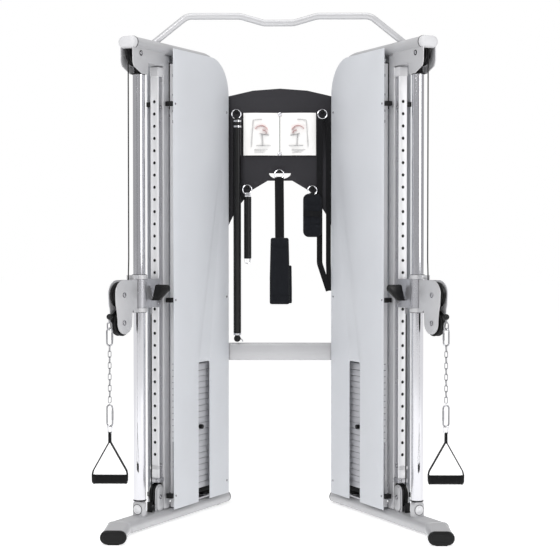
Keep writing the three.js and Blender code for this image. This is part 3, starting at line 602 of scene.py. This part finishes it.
def top(side):
    """Top tube, rear post, gussets and pulley hangers."""
    T, S = tower(side), f"_{side}"
    path = rounded([(0, -70, TOP_Z), (0, REAR_POST, TOP_Z), (0, REAR_POST, POST_FOOT)], [125], 16)
    across = [(v, u) for u, v in oval(TOP_W, TOP_H)]
    build("top_tube" + S, sweep(path, across, hint=(1, 0, 0)), T, SILVER, "frame", ["top_frame_tube" + S])
    cap = []
    for y, shrink in ((-68, 0.4), (-70, -1.0), (-82, -0.6), (-89, 2.0), (-94, 5.5), (-97, 9), (-98, 13)):
        cap.append([(v, y, TOP_Z + u) for u, v in oval(TOP_W - 2 * shrink, TOP_H - 2 * shrink)])
    build("top_cap" + S, loft(cap), T, LIGHT, "frame")
    seam = [(v, -67.5, TOP_Z + u) for u, v in oval(81, 49)]
    build("cap_seam" + S, sweep(seam, circle(1.9, 6), hint=(0, 1, 0), loop=True), T, BLACK, "frame")
    gusset = [(-88, 1946), (-88, 1902), *arc(-36, 1890, 52, 168, 215, 5), *arc(-20, 1846, 10, 235, 270, 3),
              (24, 1836), (24, 1883), (149, 1883), (149, 1946)]
    for x, n in ((26, "in"), (-30, "out")):
        build(f"gusset_{n}" + S, side_plate(gusset, x, x + 4, edge=0.9), T, SILVER, "frame")
        sign = 1 if x > 0 else -1
        face = 30 if x > 0 else -30
        build(f"axle_ring_{n}" + S, disc(11, (face, AXLE_Y, AXLE_Z), *sorted((0, sign * 1.5)), axis="X",
                edge=0.3), T, BLACK, "frame")
        build(f"axle_bolt_{n}" + S, dome(7.5, (face + sign * 1.5, AXLE_Y, AXLE_Z), 4, "X", sign), T, ZINC,
              "frame")
    build("gusset_floor" + S, block(-27, 27, 26, 149, 1883, 1888, 1), T, SILVER, "frame")
    build("rubber_stop" + S, disc(19, (0, 0, 0), 1841, 1868, "Z", 3), T, RUBBER, "frame")
    build("tube_seat" + S, block(-27, 27, -24, 24, 1866, 1874, 2), T, SILVER, "frame")
    hangers = []
    for y, z in ((STACK, AXLE_Z), (RETURN_Y, RETURN_Z)):
        for x in (12, -15):
            hangers.append(block(x, x + 3, y - 14, y + 14, z - 14, 1933, 0.6, 1))
        hangers.append(disc(5, (0, y, z), -16, 16, "X", 0.4, 20))
    build("wheel_hangers" + S, hangers, T, SILVER, "frame")


def guide(side):
    """Chrome guide tube with its clamps."""
    T, S = tower(side), f"_{side}"
    build("guide_chrome" + S, lathe([(23.5, 114), (24.5, 115), (24.5, 1839), (23.5, 1840)], (0, 0, 0), "Z",
            96), T, CHROME, "frame",
          ["guide_tube" + S])
    for z, n in ((114, "low"), (1834, "high")):
        build(f"tube_clamp_{n}" + S, ring_lathe([(24.6, z), (26.4, z + 0.5), (26.4, z + 5.5),
                (24.6, z + 6)], (0, 0, 0), "Z", 64), T, BLACK, "frame")


def wheels(side):
    T, A, S = tower(side), arm(side), f"_{side}"
    for node, body, at, matrix, pitch in (
        ("top_pulley", "top_wheel", (0, AXLE_Y, AXLE_Z), T, PITCH),
        ("rear_pulley", "rear_wheel", (0, STACK, AXLE_Z), T, PITCH),
        ("return_pulley", "return_wheel", (0, RETURN_Y, RETURN_Z), T, RETURN_PITCH),
        ("stack_pulley", "stack_wheel", (0, STACK, STACK_WHEEL_Z), T, PITCH),
        ("bottom_pulley", "bottom_wheel", (0, LOW_Y, LOW_Z), T, LOW_PITCH),
        ("arm_pulley_upper", "arm_wheel_upper", (0, -ARM_REACH, ARM_UPPER_Z), A, PITCH),
        ("arm_pulley_lower", "arm_wheel_lower", (0, -ARM_REACH, ARM_LOWER_Z), A, PITCH),
    ):
        build(node + "_wheel" + S, ring_lathe(groove_wheel(pitch + 5, pitch), at), matrix, BLACK, body + S,
              [node + S])
        build(node + "_bearing" + S, ring_lathe([(5.2, -10.4), (11, -10.4), (11, 10.4), (5.2, 10.4)], at,
                count=32), matrix, ZINC, body + S)


def carriage(side):
    """Sleeve and box that slide on the guide tube, with the pin and its lever."""
    T, S = tower(side), f"_{side}"
    sleeve = [(25.3, SLEEVE_LOW), (30, SLEEVE_LOW), (31, 897.5), (31, 1011.5), (30, SLEEVE_HIGH),
              (25.3, SLEEVE_HIGH)]
    build("carriage_sleeve" + S, ring_lathe(sleeve, (0, 0, 0), "Z", 64), T, STEEL, "carriage" + S,
          ["carriage" + S])
    body = [(12, SLEEVE_LOW), (118, SLEEVE_LOW), (125, 903), (125, 1006), (118, SLEEVE_HIGH),
            (12, SLEEVE_HIGH)]
    build("carriage_box" + S, [side_plate(body, 23, 28, edge=1.2), side_plate(body, -28, -23, edge=1.2),
          block(-24, 24, 27, 104, 897, 916, 1.5), block(-24, 24, 27, 104, 992, 1012,
          1.5)], T, STEEL, "carriage" + S)
    build("carriage_liner" + S, block(-22, 22, 33, 100, 918, 990, 1), T, BLACK, "carriage" + S)
    build("carriage_bolts" + S, bolt((28, 100, 985), 5) + bolt((28, 100, 912), 5) + bolt((-28, 60, 955), 6,
            "X", -1), T, ZINC, "carriage" + S)
    paddle = [(31, 925), (60, 925), (66, 928), (108, 966), (110, 974), (108, 984), (101, 990), (50, 990),
              (46, 987)]
    build("lever_paddle" + S, front_plate(paddle, 44, 61, edge=3.0), T, BLACK, "lever" + S,
          ["adjust_lever" + S], angle=30)
    inset = [(39, 931), (58, 931), (98, 967), (100, 980), (54, 983)]
    build("lever_inset" + S, front_plate(inset, 42.6, 45, edge=0.8), T, GLOSS, "lever" + S)
    build("lever_pin" + S, [disc(4.6, (0, 0, 937), 48, 121, "Y", 1.0, 24),
                            block(-5, 36, 46, 58, 931, 944, 1.5)], T, ZINC, "lever" + S)


def swivel_arm(side):
    """Two plates on collars that carry the arm's pulleys."""
    A, S = arm(side), f"_{side}"
    outline = [(-37, 1011), (-ARM_REACH, 1011), *arc(-ARM_REACH, 958, 53, 90, 180, 12)[1:], (-170, 912),
               (-166, 900),
               *arc(-115, ARM_LOWER_Z, 45, 172, 350, 22), (-68, 887), (-37, 887)]
    for x, n in ((16, "in"), (-20, "out")):
        build(f"arm_plate_{n}" + S, side_plate(outline, x, x + 4, edge=1.0), A, SILVER, "arm" + S,
              ["pulley_arm" + S] if n == "in" else ())
        sign = 1 if x > 0 else -1
        face = 20 * sign
        heads = bolt((face, -ARM_REACH, ARM_UPPER_Z), 8, "X", sign) + bolt((face, -ARM_REACH, ARM_LOWER_Z),
                8, "X", sign)
        build(f"arm_bolts_{n}" + S, heads, A, ZINC, "arm" + S)
    for z, n in ((1012.8, "high"), (879.5, "low")):
        ring = [(25.3, z), (31, z), (32.5, z + 1.5), (32.5, z + 15), (31, z + 16.7), (25.3, z + 16.7)]
        build(f"arm_collar_{n}" + S, ring_lathe(ring, (0, 0, 0), "Z", 64), A, SILVER, "arm" + S)
        build(f"arm_bush_{n}" + S, ring_lathe([(24.9, z + 15.5), (29, z + 15.5), (29, z + 18.5),
                (24.9, z + 18.5)] if n == "high"
              else [(24.9, z - 2), (29, z - 2), (29, z + 1), (24.9, z + 1)], (0, 0, 0), "Z",
              48), A, BLACK, "arm" + S)
        build(f"arm_tie_{n}" + S, block(-19, 19, -58, -29, z, z + 16.7, 1.5), A, SILVER, "arm" + S)
    webs = [block(-17, 17, -58, -37, 1000, 1016, 1.5), block(-17, 17, -58, -37, 888, 902, 1.5)]
    build("arm_webs" + S, webs, A, SILVER, "arm" + S)


def stadium(length, width, count=10):
    """A closed loop of a straight-sided link in (X, Z), centred on the origin."""
    r, half = width / 2, (length - width) / 2
    up = [(r * math.cos(math.pi * i / count), half + r * math.sin(math.pi * i / count))
          for i in range(count + 1)]
    down = [(-x, -z) for x, z in up]
    return up + down


def hook(z0, z1, width, wire, turn):
    """A snap hook between two heights: its body wire and a thinner gate."""
    centre, length = (z0 + z1) / 2, z1 - z0 - wire
    loop = [Vector((x, 0, centre + z)) for x, z in stadium(length, width - wire)]
    body = sweep(loop, circle(wire / 2, 10), hint=(0, 1, 0), loop=True)
    gate = disc(wire * 0.62, (width / 2 - wire / 2, 0, centre), -length * 0.2, length * 0.24, "Z", 0.6, 16)
    for bm in (body, gate):
        bmesh.ops.rotate(bm, cent=(0, 0, 0), matrix=Matrix.Rotation(turn, 3, "Z"), verts=bm.verts)
    return [body, gate]


def hand(side):
    """Ball, hooks, chain, strap and grip."""
    H, S = handle(side), f"_{side}"
    chain_body, strap_body, grip_body = "chain" + S, "strap" + S, "grip" + S
    ball = [(BALL_R * math.sin(math.radians(a)), -BALL_R * math.cos(math.radians(a)))
            for a in range(4, 180, 8)]
    build("cable_ball" + S, lathe(ball, (0, 0, BALL_Z), "Z", 40), H, GLOSS, chain_body, ["chain" + S])
    build("ball_sleeve" + S, disc(4.2, (0, 0, 0), 842, 858, "Z", 0.8, 24), H, ZINC, chain_body)
    build("shackle" + S, sweep([Vector((x, 0, 832 + z)) for x, z in stadium(30, 17)], circle(2.6, 10),
                               hint=(0, 1, 0), loop=True), H, ZINC, chain_body)
    build("hook_upper" + S, hook(752, 826, 30, 6.5, math.radians(35)), H, ZINC, chain_body)
    pitch, wire, length, width = 22.4, 3.2, 29.6, 15.0
    count = 10
    first = 752 + 3
    links = []
    for i in range(count):
        z = first - length / 2 + wire - i * pitch
        turn = math.radians(25 if i % 2 else 115)
        loop = [Matrix.Rotation(turn, 3, "Z") @ Vector((x, 0, z + dz)) for x,
                dz in stadium(length - wire, width - wire, 8)]
        axis = Matrix.Rotation(turn, 3, "Z") @ Vector((0, 1, 0))
        links.append(sweep(loop, circle(wire / 2, 8), hint=axis, loop=True))
    build("chain_links" + S, links, H, ZINC, chain_body)
    build("hook_lower" + S, hook(434, 524, 31, 6.5, math.radians(-20)), H, ZINC, chain_body)
    loop_top = [Vector((x, 0, 425 + z)) for x, z in stadium(30, 16)]
    build("strap_ring" + S, sweep(loop_top, circle(2.4, 10), hint=(0, 1, 0), loop=True), H, CHROME,
          strap_body)
    band = slab_section(24, 4.2, 1.0)
    legs = [(-68.5, 0, 221), (-69, 0, 247), (-66, 0, 262), (-3.2, 0, 374), (-3, 0, 412), (3, 0, 412),
            (3.2, 0, 374), (66, 0, 262),
            (69, 0, 247), (68.5, 0, 221)]
    flat = [(b, a) for a, b in band]
    build("strap_band" + S, sweep(rounded(legs, [10, 30, 12, 4, 4, 12, 30, 10], 5), flat, hint=(0, 1, 0)),
          H, WEBBING, strap_body, ["handle_strap" + S])
    stitch = block(-5.2, 5.2, -12.4, 12.4, 372, 400, 1.5)
    build("strap_stitch" + S, stitch, H, WEBBING, strap_body)
    tube = lathe([(11, -70), (12, -69), (12, 69), (11, 70)], (0, 0, GRIP_Z), "X", 32)
    build("grip_core" + S, tube, H, ZINC, grip_body)
    ribs = [(12, -67), (17, -67), (18.8, -65), (18.8, -60)]
    for i in range(24):
        x = -58 + i * 5.0
        ribs += [(18.6, x), (17.2, x + 1.2), (17.2, x + 2.2), (18.6, x + 3.6)]
    ribs += [(18.8, 62), (18.8, 65), (17, 67), (12, 67)]
    build("grip_rubber" + S, ring_lathe(ribs, (0, 0, GRIP_Z), "X", 40), H, RUBBER, grip_body,
          ["handle_grip" + S])
    build("grip_discs" + S, [disc(15, (0, 0, GRIP_Z), 67.2, 69.4, "X", 0.5),
                             disc(15, (0, 0, GRIP_Z), -69.4, -67.2, "X", 0.5)], H, BLACK, grip_body)


def stack(side):
    """Weight plates, head, fork, bumpers and selector pin."""
    T, S = tower(side), f"_{side}"
    for k in range(PLATE_COUNT):
        z = STACK_FOOT + PLATE_T * k
        body = "stack" + S if k >= LIFTED_FROM else "frame"
        swap = {0: ["lower_plates" + S], LIFTED_FROM: ["lifted_plates" + S]}.get(k, ())
        build(f"weight_{k:02d}" + S, block(-40, 40, 260, 550, z + 0.5, z + 24.9, 2.2, 2), T, PLATE, body,
              swap)
    build("head_plate" + S, block(-40, 40, 260, 550, 613.4, 643, 4, 3), T, PLATE, "stack" + S)
    build("stack_fork" + S, [block(14, 18, 389, 421, 641, 731, 1), block(-18, -14, 389, 421, 641, 731, 1),
          disc(5, (0, STACK, STACK_WHEEL_Z), -19, 19, "X", 0.5, 20)], T, STEEL, "stack" + S)
    build("stack_stem" + S, disc(10, (0, STACK, 0), 117, 360, "Z", 1, 24), T, ZINC, "stack" + S)
    build("bumpers" + S, [disc(26, (0, STACK + d, 0), 61, 104.6, "Z", 3, 32) for d in (-110, 110)] +
          [block(-34, 34, 270, 540, 84, 104.5, 3)], T, RUBBER, "frame")
    build("pin_shank" + S, disc(5, (0, STACK, PIN_Z), 4, 43, "X", 1, 24), T, ZINC, "pin" + S,
          ["selector_pin" + S])
    build("pin_head" + S, lathe([(6, 40.5), (8, 42), (9.8, 44), (9.8, 56), (8.5, 59), (5, 60)],
                                (0, STACK, PIN_Z), "X", 40), T, BLACK, "pin" + S)


def shrouds(side):
    """Frosted panels with their clips and screws."""
    T, S = tower(side), f"_{side}"
    corner = arc(470, 1807, 150, 0, 90, 24)
    inner = [(160, 56), (357, 56), *arc(369, 640, 12, 180, 90, 6), *arc(441, 640, 12, 90, 0, 6), (453, 56),
             (620, 56), *corner, (160, 1957)]
    outer = [(160, 56), (620, 56), *corner, (160, 1957)]
    build("panel_inner" + S, side_plate(inner, PANEL_N, PANEL_OUT, edge=1.2), T, SHROUD, "frame",
          ["inner_shroud" + S], angle=30)
    build("panel_outer" + S, side_plate(outer, -PANEL_OUT, -PANEL_N, edge=1.2), T, SHROUD, "frame",
          ["outer_shroud" + S], angle=30)
    for z in CLIP_HEIGHTS:
        for sign, n in ((1, "in"), (-1, "out")):
            a, b = sorted((30.3 * sign, 61.8 * sign))
            build(f"clip_front_{z}_{n}" + S, block(a, b, 150, 168, z - 10, z + 10, 2), T, BLACK, "frame")
            a, b = sorted((40.3 * sign, 61.8 * sign))
            build(f"clip_rear_{z}_{n}" + S, block(a, b, 581, 599, z - 10, z + 10, 2), T, BLACK, "frame")
            heads = []
            for y in (172, 600):
                heads += bolt((PANEL_OUT * sign, y, z), 3.4, "X", sign)
            build(f"screws_{z}_{n}" + S, heads, T, ZINC, "frame")


def cables(side):
    """The cable's run: turns that ride on their bodies, and straight runs that span between two bodies and
    ride on none.
    """
    T, A, S = tower(side), arm(side), f"_{side}"
    reach = Vector((ARM_REACH - BALL_REACH, BALL_Z - ARM_UPPER_Z))
    leave = math.degrees(math.atan2(reach.y, reach.x) + math.acos(PITCH / reach.length))
    upper = arc(-ARM_REACH, ARM_UPPER_Z, PITCH, leave, 0, 14)
    y, z = upper[0]
    seat = Vector((y + BALL_REACH, z - BALL_Z)).normalized() * BALL_R
    start = (0, seat.x - BALL_REACH, BALL_Z + seat.y)
    run = [start] + [(0, y, z) for y, z in upper]
    build("cable_arm" + S, cord(run), A, JACKET, "arm" + S)

    def straight(name, a, b, steps=24):
        points = [Vector(a).lerp(Vector(b), i / steps) for i in range(steps + 1)]
        return build(name + S, cord(points), T, JACKET, None)

    def world(p):
        return T @ (Vector(p) * MM)

    arm_end = tower("left").inverted() @ arm("left") @ (Vector((0, -73, ARM_UPPER_Z)) * MM) / MM
    lean = straight("cable_turn", arm_end, (0, RUN_Y, ROUTE_Z))
    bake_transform(lean)
    rise = straight("cable_rise", (0, RUN_Y, ROUTE_Z), (0, RUN_Y, AXLE_Z))
    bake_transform(rise)
    over = [(0, y, z) for y, z in arc(AXLE_Y, AXLE_Z, PITCH, 180, 90, 12) + arc(STACK, AXLE_Z, PITCH, 90, 0,
            12)]
    build("cable_top" + S, cord(over), T, JACKET, "frame", ["pull_cable" + S])
    drop = straight("cable_drop", (0, STACK + PITCH, AXLE_Z), (0, STACK + PITCH, STACK_WHEEL_Z))
    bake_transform(drop)
    under = [(0, y, z) for y, z in arc(STACK, STACK_WHEEL_Z, PITCH, 0, -180, 20)]
    build("cable_stack" + S, cord(under), T, JACKET, "stack" + S)
    lift = straight("cable_lift", (0, STACK - PITCH, STACK_WHEEL_Z), (0, STACK - PITCH, RETURN_Z))
    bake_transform(lift)
    back = arc(RETURN_Y, RETURN_Z, RETURN_PITCH, 0, 180, 24) + arc(LOW_Y, LOW_Z, LOW_PITCH, 0, -180, 20)
    build("cable_return" + S, cord([(0, y, z) for y, z in back]), T, JACKET, "frame")
    y = LOW_Y - LOW_PITCH
    low = straight("cable_low", (0, y, LOW_Z), (0, y, 896))
    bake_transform(low)
    build("cable_ferrule" + S, disc(4.5, (0, y, 0), 868, 896, "Z", 1, 20), T, ZINC, "carriage" + S)


for side in SIDES:
    for make in (base, upright, top, guide, wheels, carriage, swivel_arm, hand, stack, shrouds, cables):
        make(side)
    frame["nodes"][f"guide_rods_{side}"].data.materials.clear()
    frame["nodes"][f"guide_rods_{side}"].data.materials.append(STEEL)

# ---- shared pieces -----------------------------------------------------------------------
BAR_Y, BAR_R = 114.6, 13.5
BOARD_FRONT, BOARD_BACK = 548, 554
HANG_Y, RING_R, RING_WIRE = 525, 20, 2.5
PAGE_LOW, PAGE_H, PAPER_Y = 1545, 187, 531.6
half = [(519, 1973), (376, 2087), (158, 2087), (60, 2059)]
bar_path = [(-x, BAR_Y, z) for x, z in half] + [(x, BAR_Y, z) for x, z in reversed(half)]
bar = sweep(rounded(bar_path, [60, 90, 70, 70, 90, 60], 10), circle(BAR_R, 24), hint=(0, 1, 0))
bmesh.ops.bisect_plane(bar, geom=bar.verts[:] + bar.edges[:] + bar.faces[:], plane_co=(0, 0, 1980.3),
                       plane_no=(0, 0, 1), clear_inner=True)
build("pull_up_tube", bar, SHARED, SILVER, "frame", ["pull_up_bar"])
for side, sign in (("left", -1), ("right", 1)):
    ring = [(sign * 509 + 19 * math.cos(a), BAR_Y + 15.5 * math.sin(a), 1980.6)
            for a in [2 * math.pi * i / 32 for i in range(32)]]
    build(f"bar_weld_{side}", sweep(ring, circle(1.6, 8), hint=(0, 0, 1), loop=True), SHARED, SILVER,
          "frame")
build("cross_tube", block(-328, 328, 540, 590, 640.5, 715.5, 6, 3), SHARED, SILVER, "frame",
      ["rear_crossbeam"])

edge_top = [(295, 1786), (228, 1806), (120, 1831), (0, 1840), (-120, 1831), (-228, 1806), (-295, 1786)]
arch = [(-227, 1238), (-203, 1287), (-172, 1334), (-130, 1389), (-54, 1434), (54, 1434), (130, 1389),
        (172, 1334), (203, 1287), (227, 1238)]
board_outline = [(-295, 1238), *arch, (295, 1238), *edge_top]
moon = [(-48 + 96 * i / 12, 1467) for i in range(13)] + [(48 * math.cos(a), 1467 - 26 * math.sin(a))
        for a in [math.pi * i / 16 for i in range(1, 16)]]
build("board", front_plate(board_outline, BOARD_FRONT, BOARD_BACK, [moon], edge=0.8), SHARED, BOARD,
      "frame", ["accessory_board"], angle=30)
PEGS = [(-192, 1738), (187, 1738), (-144, 1407), (-3, 1474), (143, 1403)]
for i, (x, z) in enumerate(PEGS):
    build(f"peg_{i}", [lathe([(4.6, BOARD_FRONT), (4.6, 515), (5, 513), (3, 512)], (x, 0, z), "Y", 24),
          disc(8, (x, 0, z), 545, BOARD_FRONT, "Y", 1)], SHARED, BLACK, "frame")


def page(name, x0, x1, fold):
    """A slightly bowed sheet of paper."""
    bm = bmesh.new()
    nx, nz = 16, 4
    grid = []
    for j in range(nz + 1):
        z = PAGE_LOW + PAGE_H * j / nz
        row = []
        for i in range(nx + 1):
            u = i / nx
            bow = 7 * math.sin(math.pi * (u if fold < 0 else 1 - u) ** 0.7)
            row.append(bm.verts.new((x0 + (x1 - x0) * u, 541 - bow - 1.5 * u * fold, z)))
        grid.append(row)
    for a, b in zip(grid, grid[1:]):
        for i in range(nx):
            bm.faces.new((a[i], a[i + 1], b[i + 1], b[i]))
    solid = bmesh.ops.extrude_face_region(bm, geom=bm.faces[:])
    bmesh.ops.translate(bm, vec=(0, 1.2, 0), verts=[v for v in solid["geom"] if isinstance(v,
            bmesh.types.BMVert)])
    return build(name, bm, SHARED, PAPER, "frame")


page("page_left", -161, -2, -1)
page("page_right", 1, 159, 1)
build("booklet_bosses", [dome(9, (-1, 536, z), 4, "Y", -1) for z in (1552, 1726)], SHARED, CHROME, "frame")
marks_red, marks_grey = [], []


def stroke(points, width, store):
    """A flat printed line on the page."""
    path = [(x, PAPER_Y, z) for x, z in points]
    store.append(sweep(path, slab_section(0.5, width, 0.1), hint=(0, 1, 0)))


for cx in (-84, 82):
    flip = 1 if cx < 0 else -1
    stroke([(cx - 42 * flip, 1582), (cx - 34 * flip, 1700), (cx + 6 * flip, 1704)], 4.5, marks_grey)
    stroke([(cx - 20 * flip, 1588), (cx + 44 * flip, 1588)], 6.0, marks_grey)
    stroke([(cx + 8 * flip, 1588), (cx + 4 * flip, 1640)], 8.0, marks_grey)
    stroke([(cx - 6 * flip, 1640), (cx + 36 * flip, 1634)], 10.0, marks_grey)
    stroke([(cx + r * flip, z) for r, z in arc(2, 1646, 30, 20, 150, 10)], 17.0, marks_red)
    stroke([(cx + r * flip, z) for r, z in arc(10, 1640, 16, 0, 100, 6)], 14.0, marks_red)
    for row in range(3):
        stroke([(cx - 30, 1571 - 6 * row), (cx + 30 - 9 * row, 1571 - 6 * row)], 2.2, marks_grey)
build("chart_red", marks_red, SHARED, INK_RED, "frame")
build("chart_grey", marks_grey, SHARED, INK_GREY, "frame")


def ring_on(index, name, body):
    """A ring that hangs on a peg; gives the peg's place and the ring's middle."""
    x, z = PEGS[index]
    centre = z + 7.4 - RING_R
    loop = [Vector((x + u, HANG_Y, centre + v)) for u, v in circle(RING_R, 36)]
    build(name, sweep(loop, circle(RING_WIRE, 10), hint=(0, 1, 0), loop=True), SHARED, CHROME, body)
    return x, centre


x, c = ring_on(0, "long_bar_ring", "long_bar")
x += 4
shaft = lathe([(7, c - 15), (12, c - 17), (17, c - 23), (17, 764), (16, 762)], (x, HANG_Y, 0), "Z", 40)
build("long_bar_shaft", shaft, SHARED, GLOSS, "long_bar", ["long_bar"])
build("long_bar_caps", [ring_lathe([(16, z), (18, z + 1), (18, z + 9), (16, z + 10)], (x, HANG_Y, 0), "Z",
        40) for z in (c - 36, c - 60, 752)],
      SHARED, CHROME, "long_bar")
build("long_bar_swivel", [lathe([(9, 752), (11, 748), (11, 732), (8, 728)], (x, HANG_Y, 0), "Z", 32),
      disc(15, (x, HANG_Y, 738), -9, 9, "Y", 2, 24)], SHARED, BLACK, "long_bar")
claw = [(x + 4, HANG_Y, 742), (x + 16, HANG_Y, 736), (x + 26, HANG_Y, 728), (x + 22, HANG_Y, 724.5)]
build("long_bar_claw", sweep(rounded(claw, [4, 4], 4), circle(2.4, 8), hint=(0, 1, 0)), SHARED, ZINC,
      "long_bar")

x, c = ring_on(2, "short_bar_ring", "short_bar")
x += 2
build("short_bar_shaft", lathe([(10, c - 30), (16.3, c - 33), (16.3, 1092), (14.5, 1090)], (x, HANG_Y, 0),
                               "Z", 40), SHARED, GLOSS, "short_bar", ["short_bar"])
build("short_bar_block", block(x - 13, x + 13, 513, 537, c - 34, c - 14, 3, 3), SHARED, CHROME, "short_bar")
tip = [(x - 10, HANG_Y, 1094), (x - 10, HANG_Y, 1068), (x + 10, HANG_Y, 1068), (x + 10, HANG_Y, 1094)]
build("short_bar_end", sweep(rounded(tip, [9, 9], 6), circle(2.6, 10), hint=(0, 1, 0)), SHARED, CHROME,
      "short_bar")


def rim(grid):
    """The outer points of a grid, in order."""
    right, left = [row[-1] for row in grid[1:]], [row[0] for row in grid[-2:0:-1]]
    return grid[0] + right + grid[-1][-2::-1] + left


def pad_form(x0, x1, y0, y1, z0, z1, name, body, mat, seams=(), corner=14, replaces=(),
             taper=0.0):
    """A crowned pad: a rounded rectangle whose faces swell and whose sewn seams pull in."""
    nx, nz = 26, 44
    cx, cy, cz = (x0 + x1) / 2, (y0 + y1) / 2, (z0 + z1) / 2
    hx, hy, hz = (x1 - x0) / 2, (y1 - y0) / 2, (z1 - z0) / 2
    bm = bmesh.new()
    skins = []
    for sign in (-1, 1):
        grid = []
        for j in range(nz + 1):
            v = -1 + 2 * j / nz
            row = []
            for i in range(nx + 1):
                u = -1 + 2 * i / nx
                rx, rz = corner / hx, corner / hz
                du, dv = max(0, abs(u) - (1 - rx)) / rx, max(0, abs(v) - (1 - rz)) / rz
                reach = math.hypot(du, dv)
                scale = 1 if reach <= 1 else 1 / reach
                pu = math.copysign((1 - rx) + rx * du * scale, u) if du > 0 else u
                pv = math.copysign((1 - rz) + rz * dv * scale, v) if dv > 0 else v
                crown = (1 - min(1, abs(u)) ** 4) ** 0.5 * (1 - min(1, abs(v)) ** 6) ** 0.5
                for s in seams:
                    crown *= 1 - 0.45 * math.exp(-(((cz + pv * hz) - s) / 3.5) ** 2)
                crown *= 1 + 0.04 * math.sin(9 * pu + 3 * pv)
                row.append(bm.verts.new((cx + pu * hx * (1 - taper * max(0, pv + 0.2)),
                        cy + sign * hy * max(0.02, crown), cz + pv * hz)))
            grid.append(row)
        for a, b in zip(grid, grid[1:]):
            for i in range(nx):
                bm.faces.new((a[i], a[i + 1], b[i + 1], b[i]))
        skins.append(grid)
    front, back = skins
    fa, fb = rim(front), rim(back)
    for i in range(len(fa)):
        j = (i + 1) % len(fa)
        bm.faces.new((fa[i], fa[j], fb[j], fb[i]))
    obj = build(name, bm, SHARED, mat, body, replaces, angle=80)
    return obj


def strap(name, body, points, width, thick, radii, mat=WEBBING, replaces=(), hint=(1, 0, 0)):
    """A flat band along a rounded path."""
    return build(name, sweep(rounded(points, radii, 6), slab_section(thick, width, 0.8), hint=hint), SHARED,
                 mat, body, replaces)


x, c = ring_on(3, "crunch_ring", "crunch_strap")
strap("crunch_web", "crunch_strap", [(x, 527, c - 12), (x, 522, c - 20), (x + 1, 521, 1330),
        (x + 2, 523, 1176)], 40, 4, [6, 60])
pad_form(x - 42, x + 46, 509, 533, 889, 1182, "crunch_pad", "crunch_strap", CUFF, seams=(930, 1140),
         replaces=["crunch_strap"], corner=9, taper=0.08)
pad_form(x + 6, x + 56, 524, 541, 893, 1060, "crunch_pad_back", "crunch_strap", CUFF, seams=(930,),
         corner=5, taper=0.05)

x, c = ring_on(4, "cuff_ring", "ankle_cuff")
strap("cuff_web", "ankle_cuff", [(x, 527, c - 12), (x, 524, c - 20), (x, 524, 1350)], 26, 4, [6])
pad_form(x - 41, x + 42, 513, 536, 1185, 1376, "cuff_pad", "ankle_cuff", CUFF, seams=(1240, 1330),
         corner=26, replaces=["ankle_cuff"])
strap("cuff_tab", "ankle_cuff", [(x - 40, 511.5, 1290), (x, 508.5, 1287), (x + 38, 511.5, 1284)], 24, 3,
      [60], hint=(0, 0, 1))

x, c = ring_on(1, "loop_ring", "strap_loop")
strap("loop_left", "strap_loop", [(x, 526, c - 14), (x - 8, 522, c - 30), (x - 12, 541, 1500),
                                  (x - 12, 541, 1070), (x + 28, 541, 948)],
      25, 3, [10, 200, 60], replaces=["strap_loop"])
strap("loop_right", "strap_loop", [(x + 2, 530, c - 14), (x + 24, 535, c - 40), (x + 27, 543, 1500),
        (x + 27, 543, 1070), (x + 31, 543, 948)],
      22, 3, [20, 200, 60])
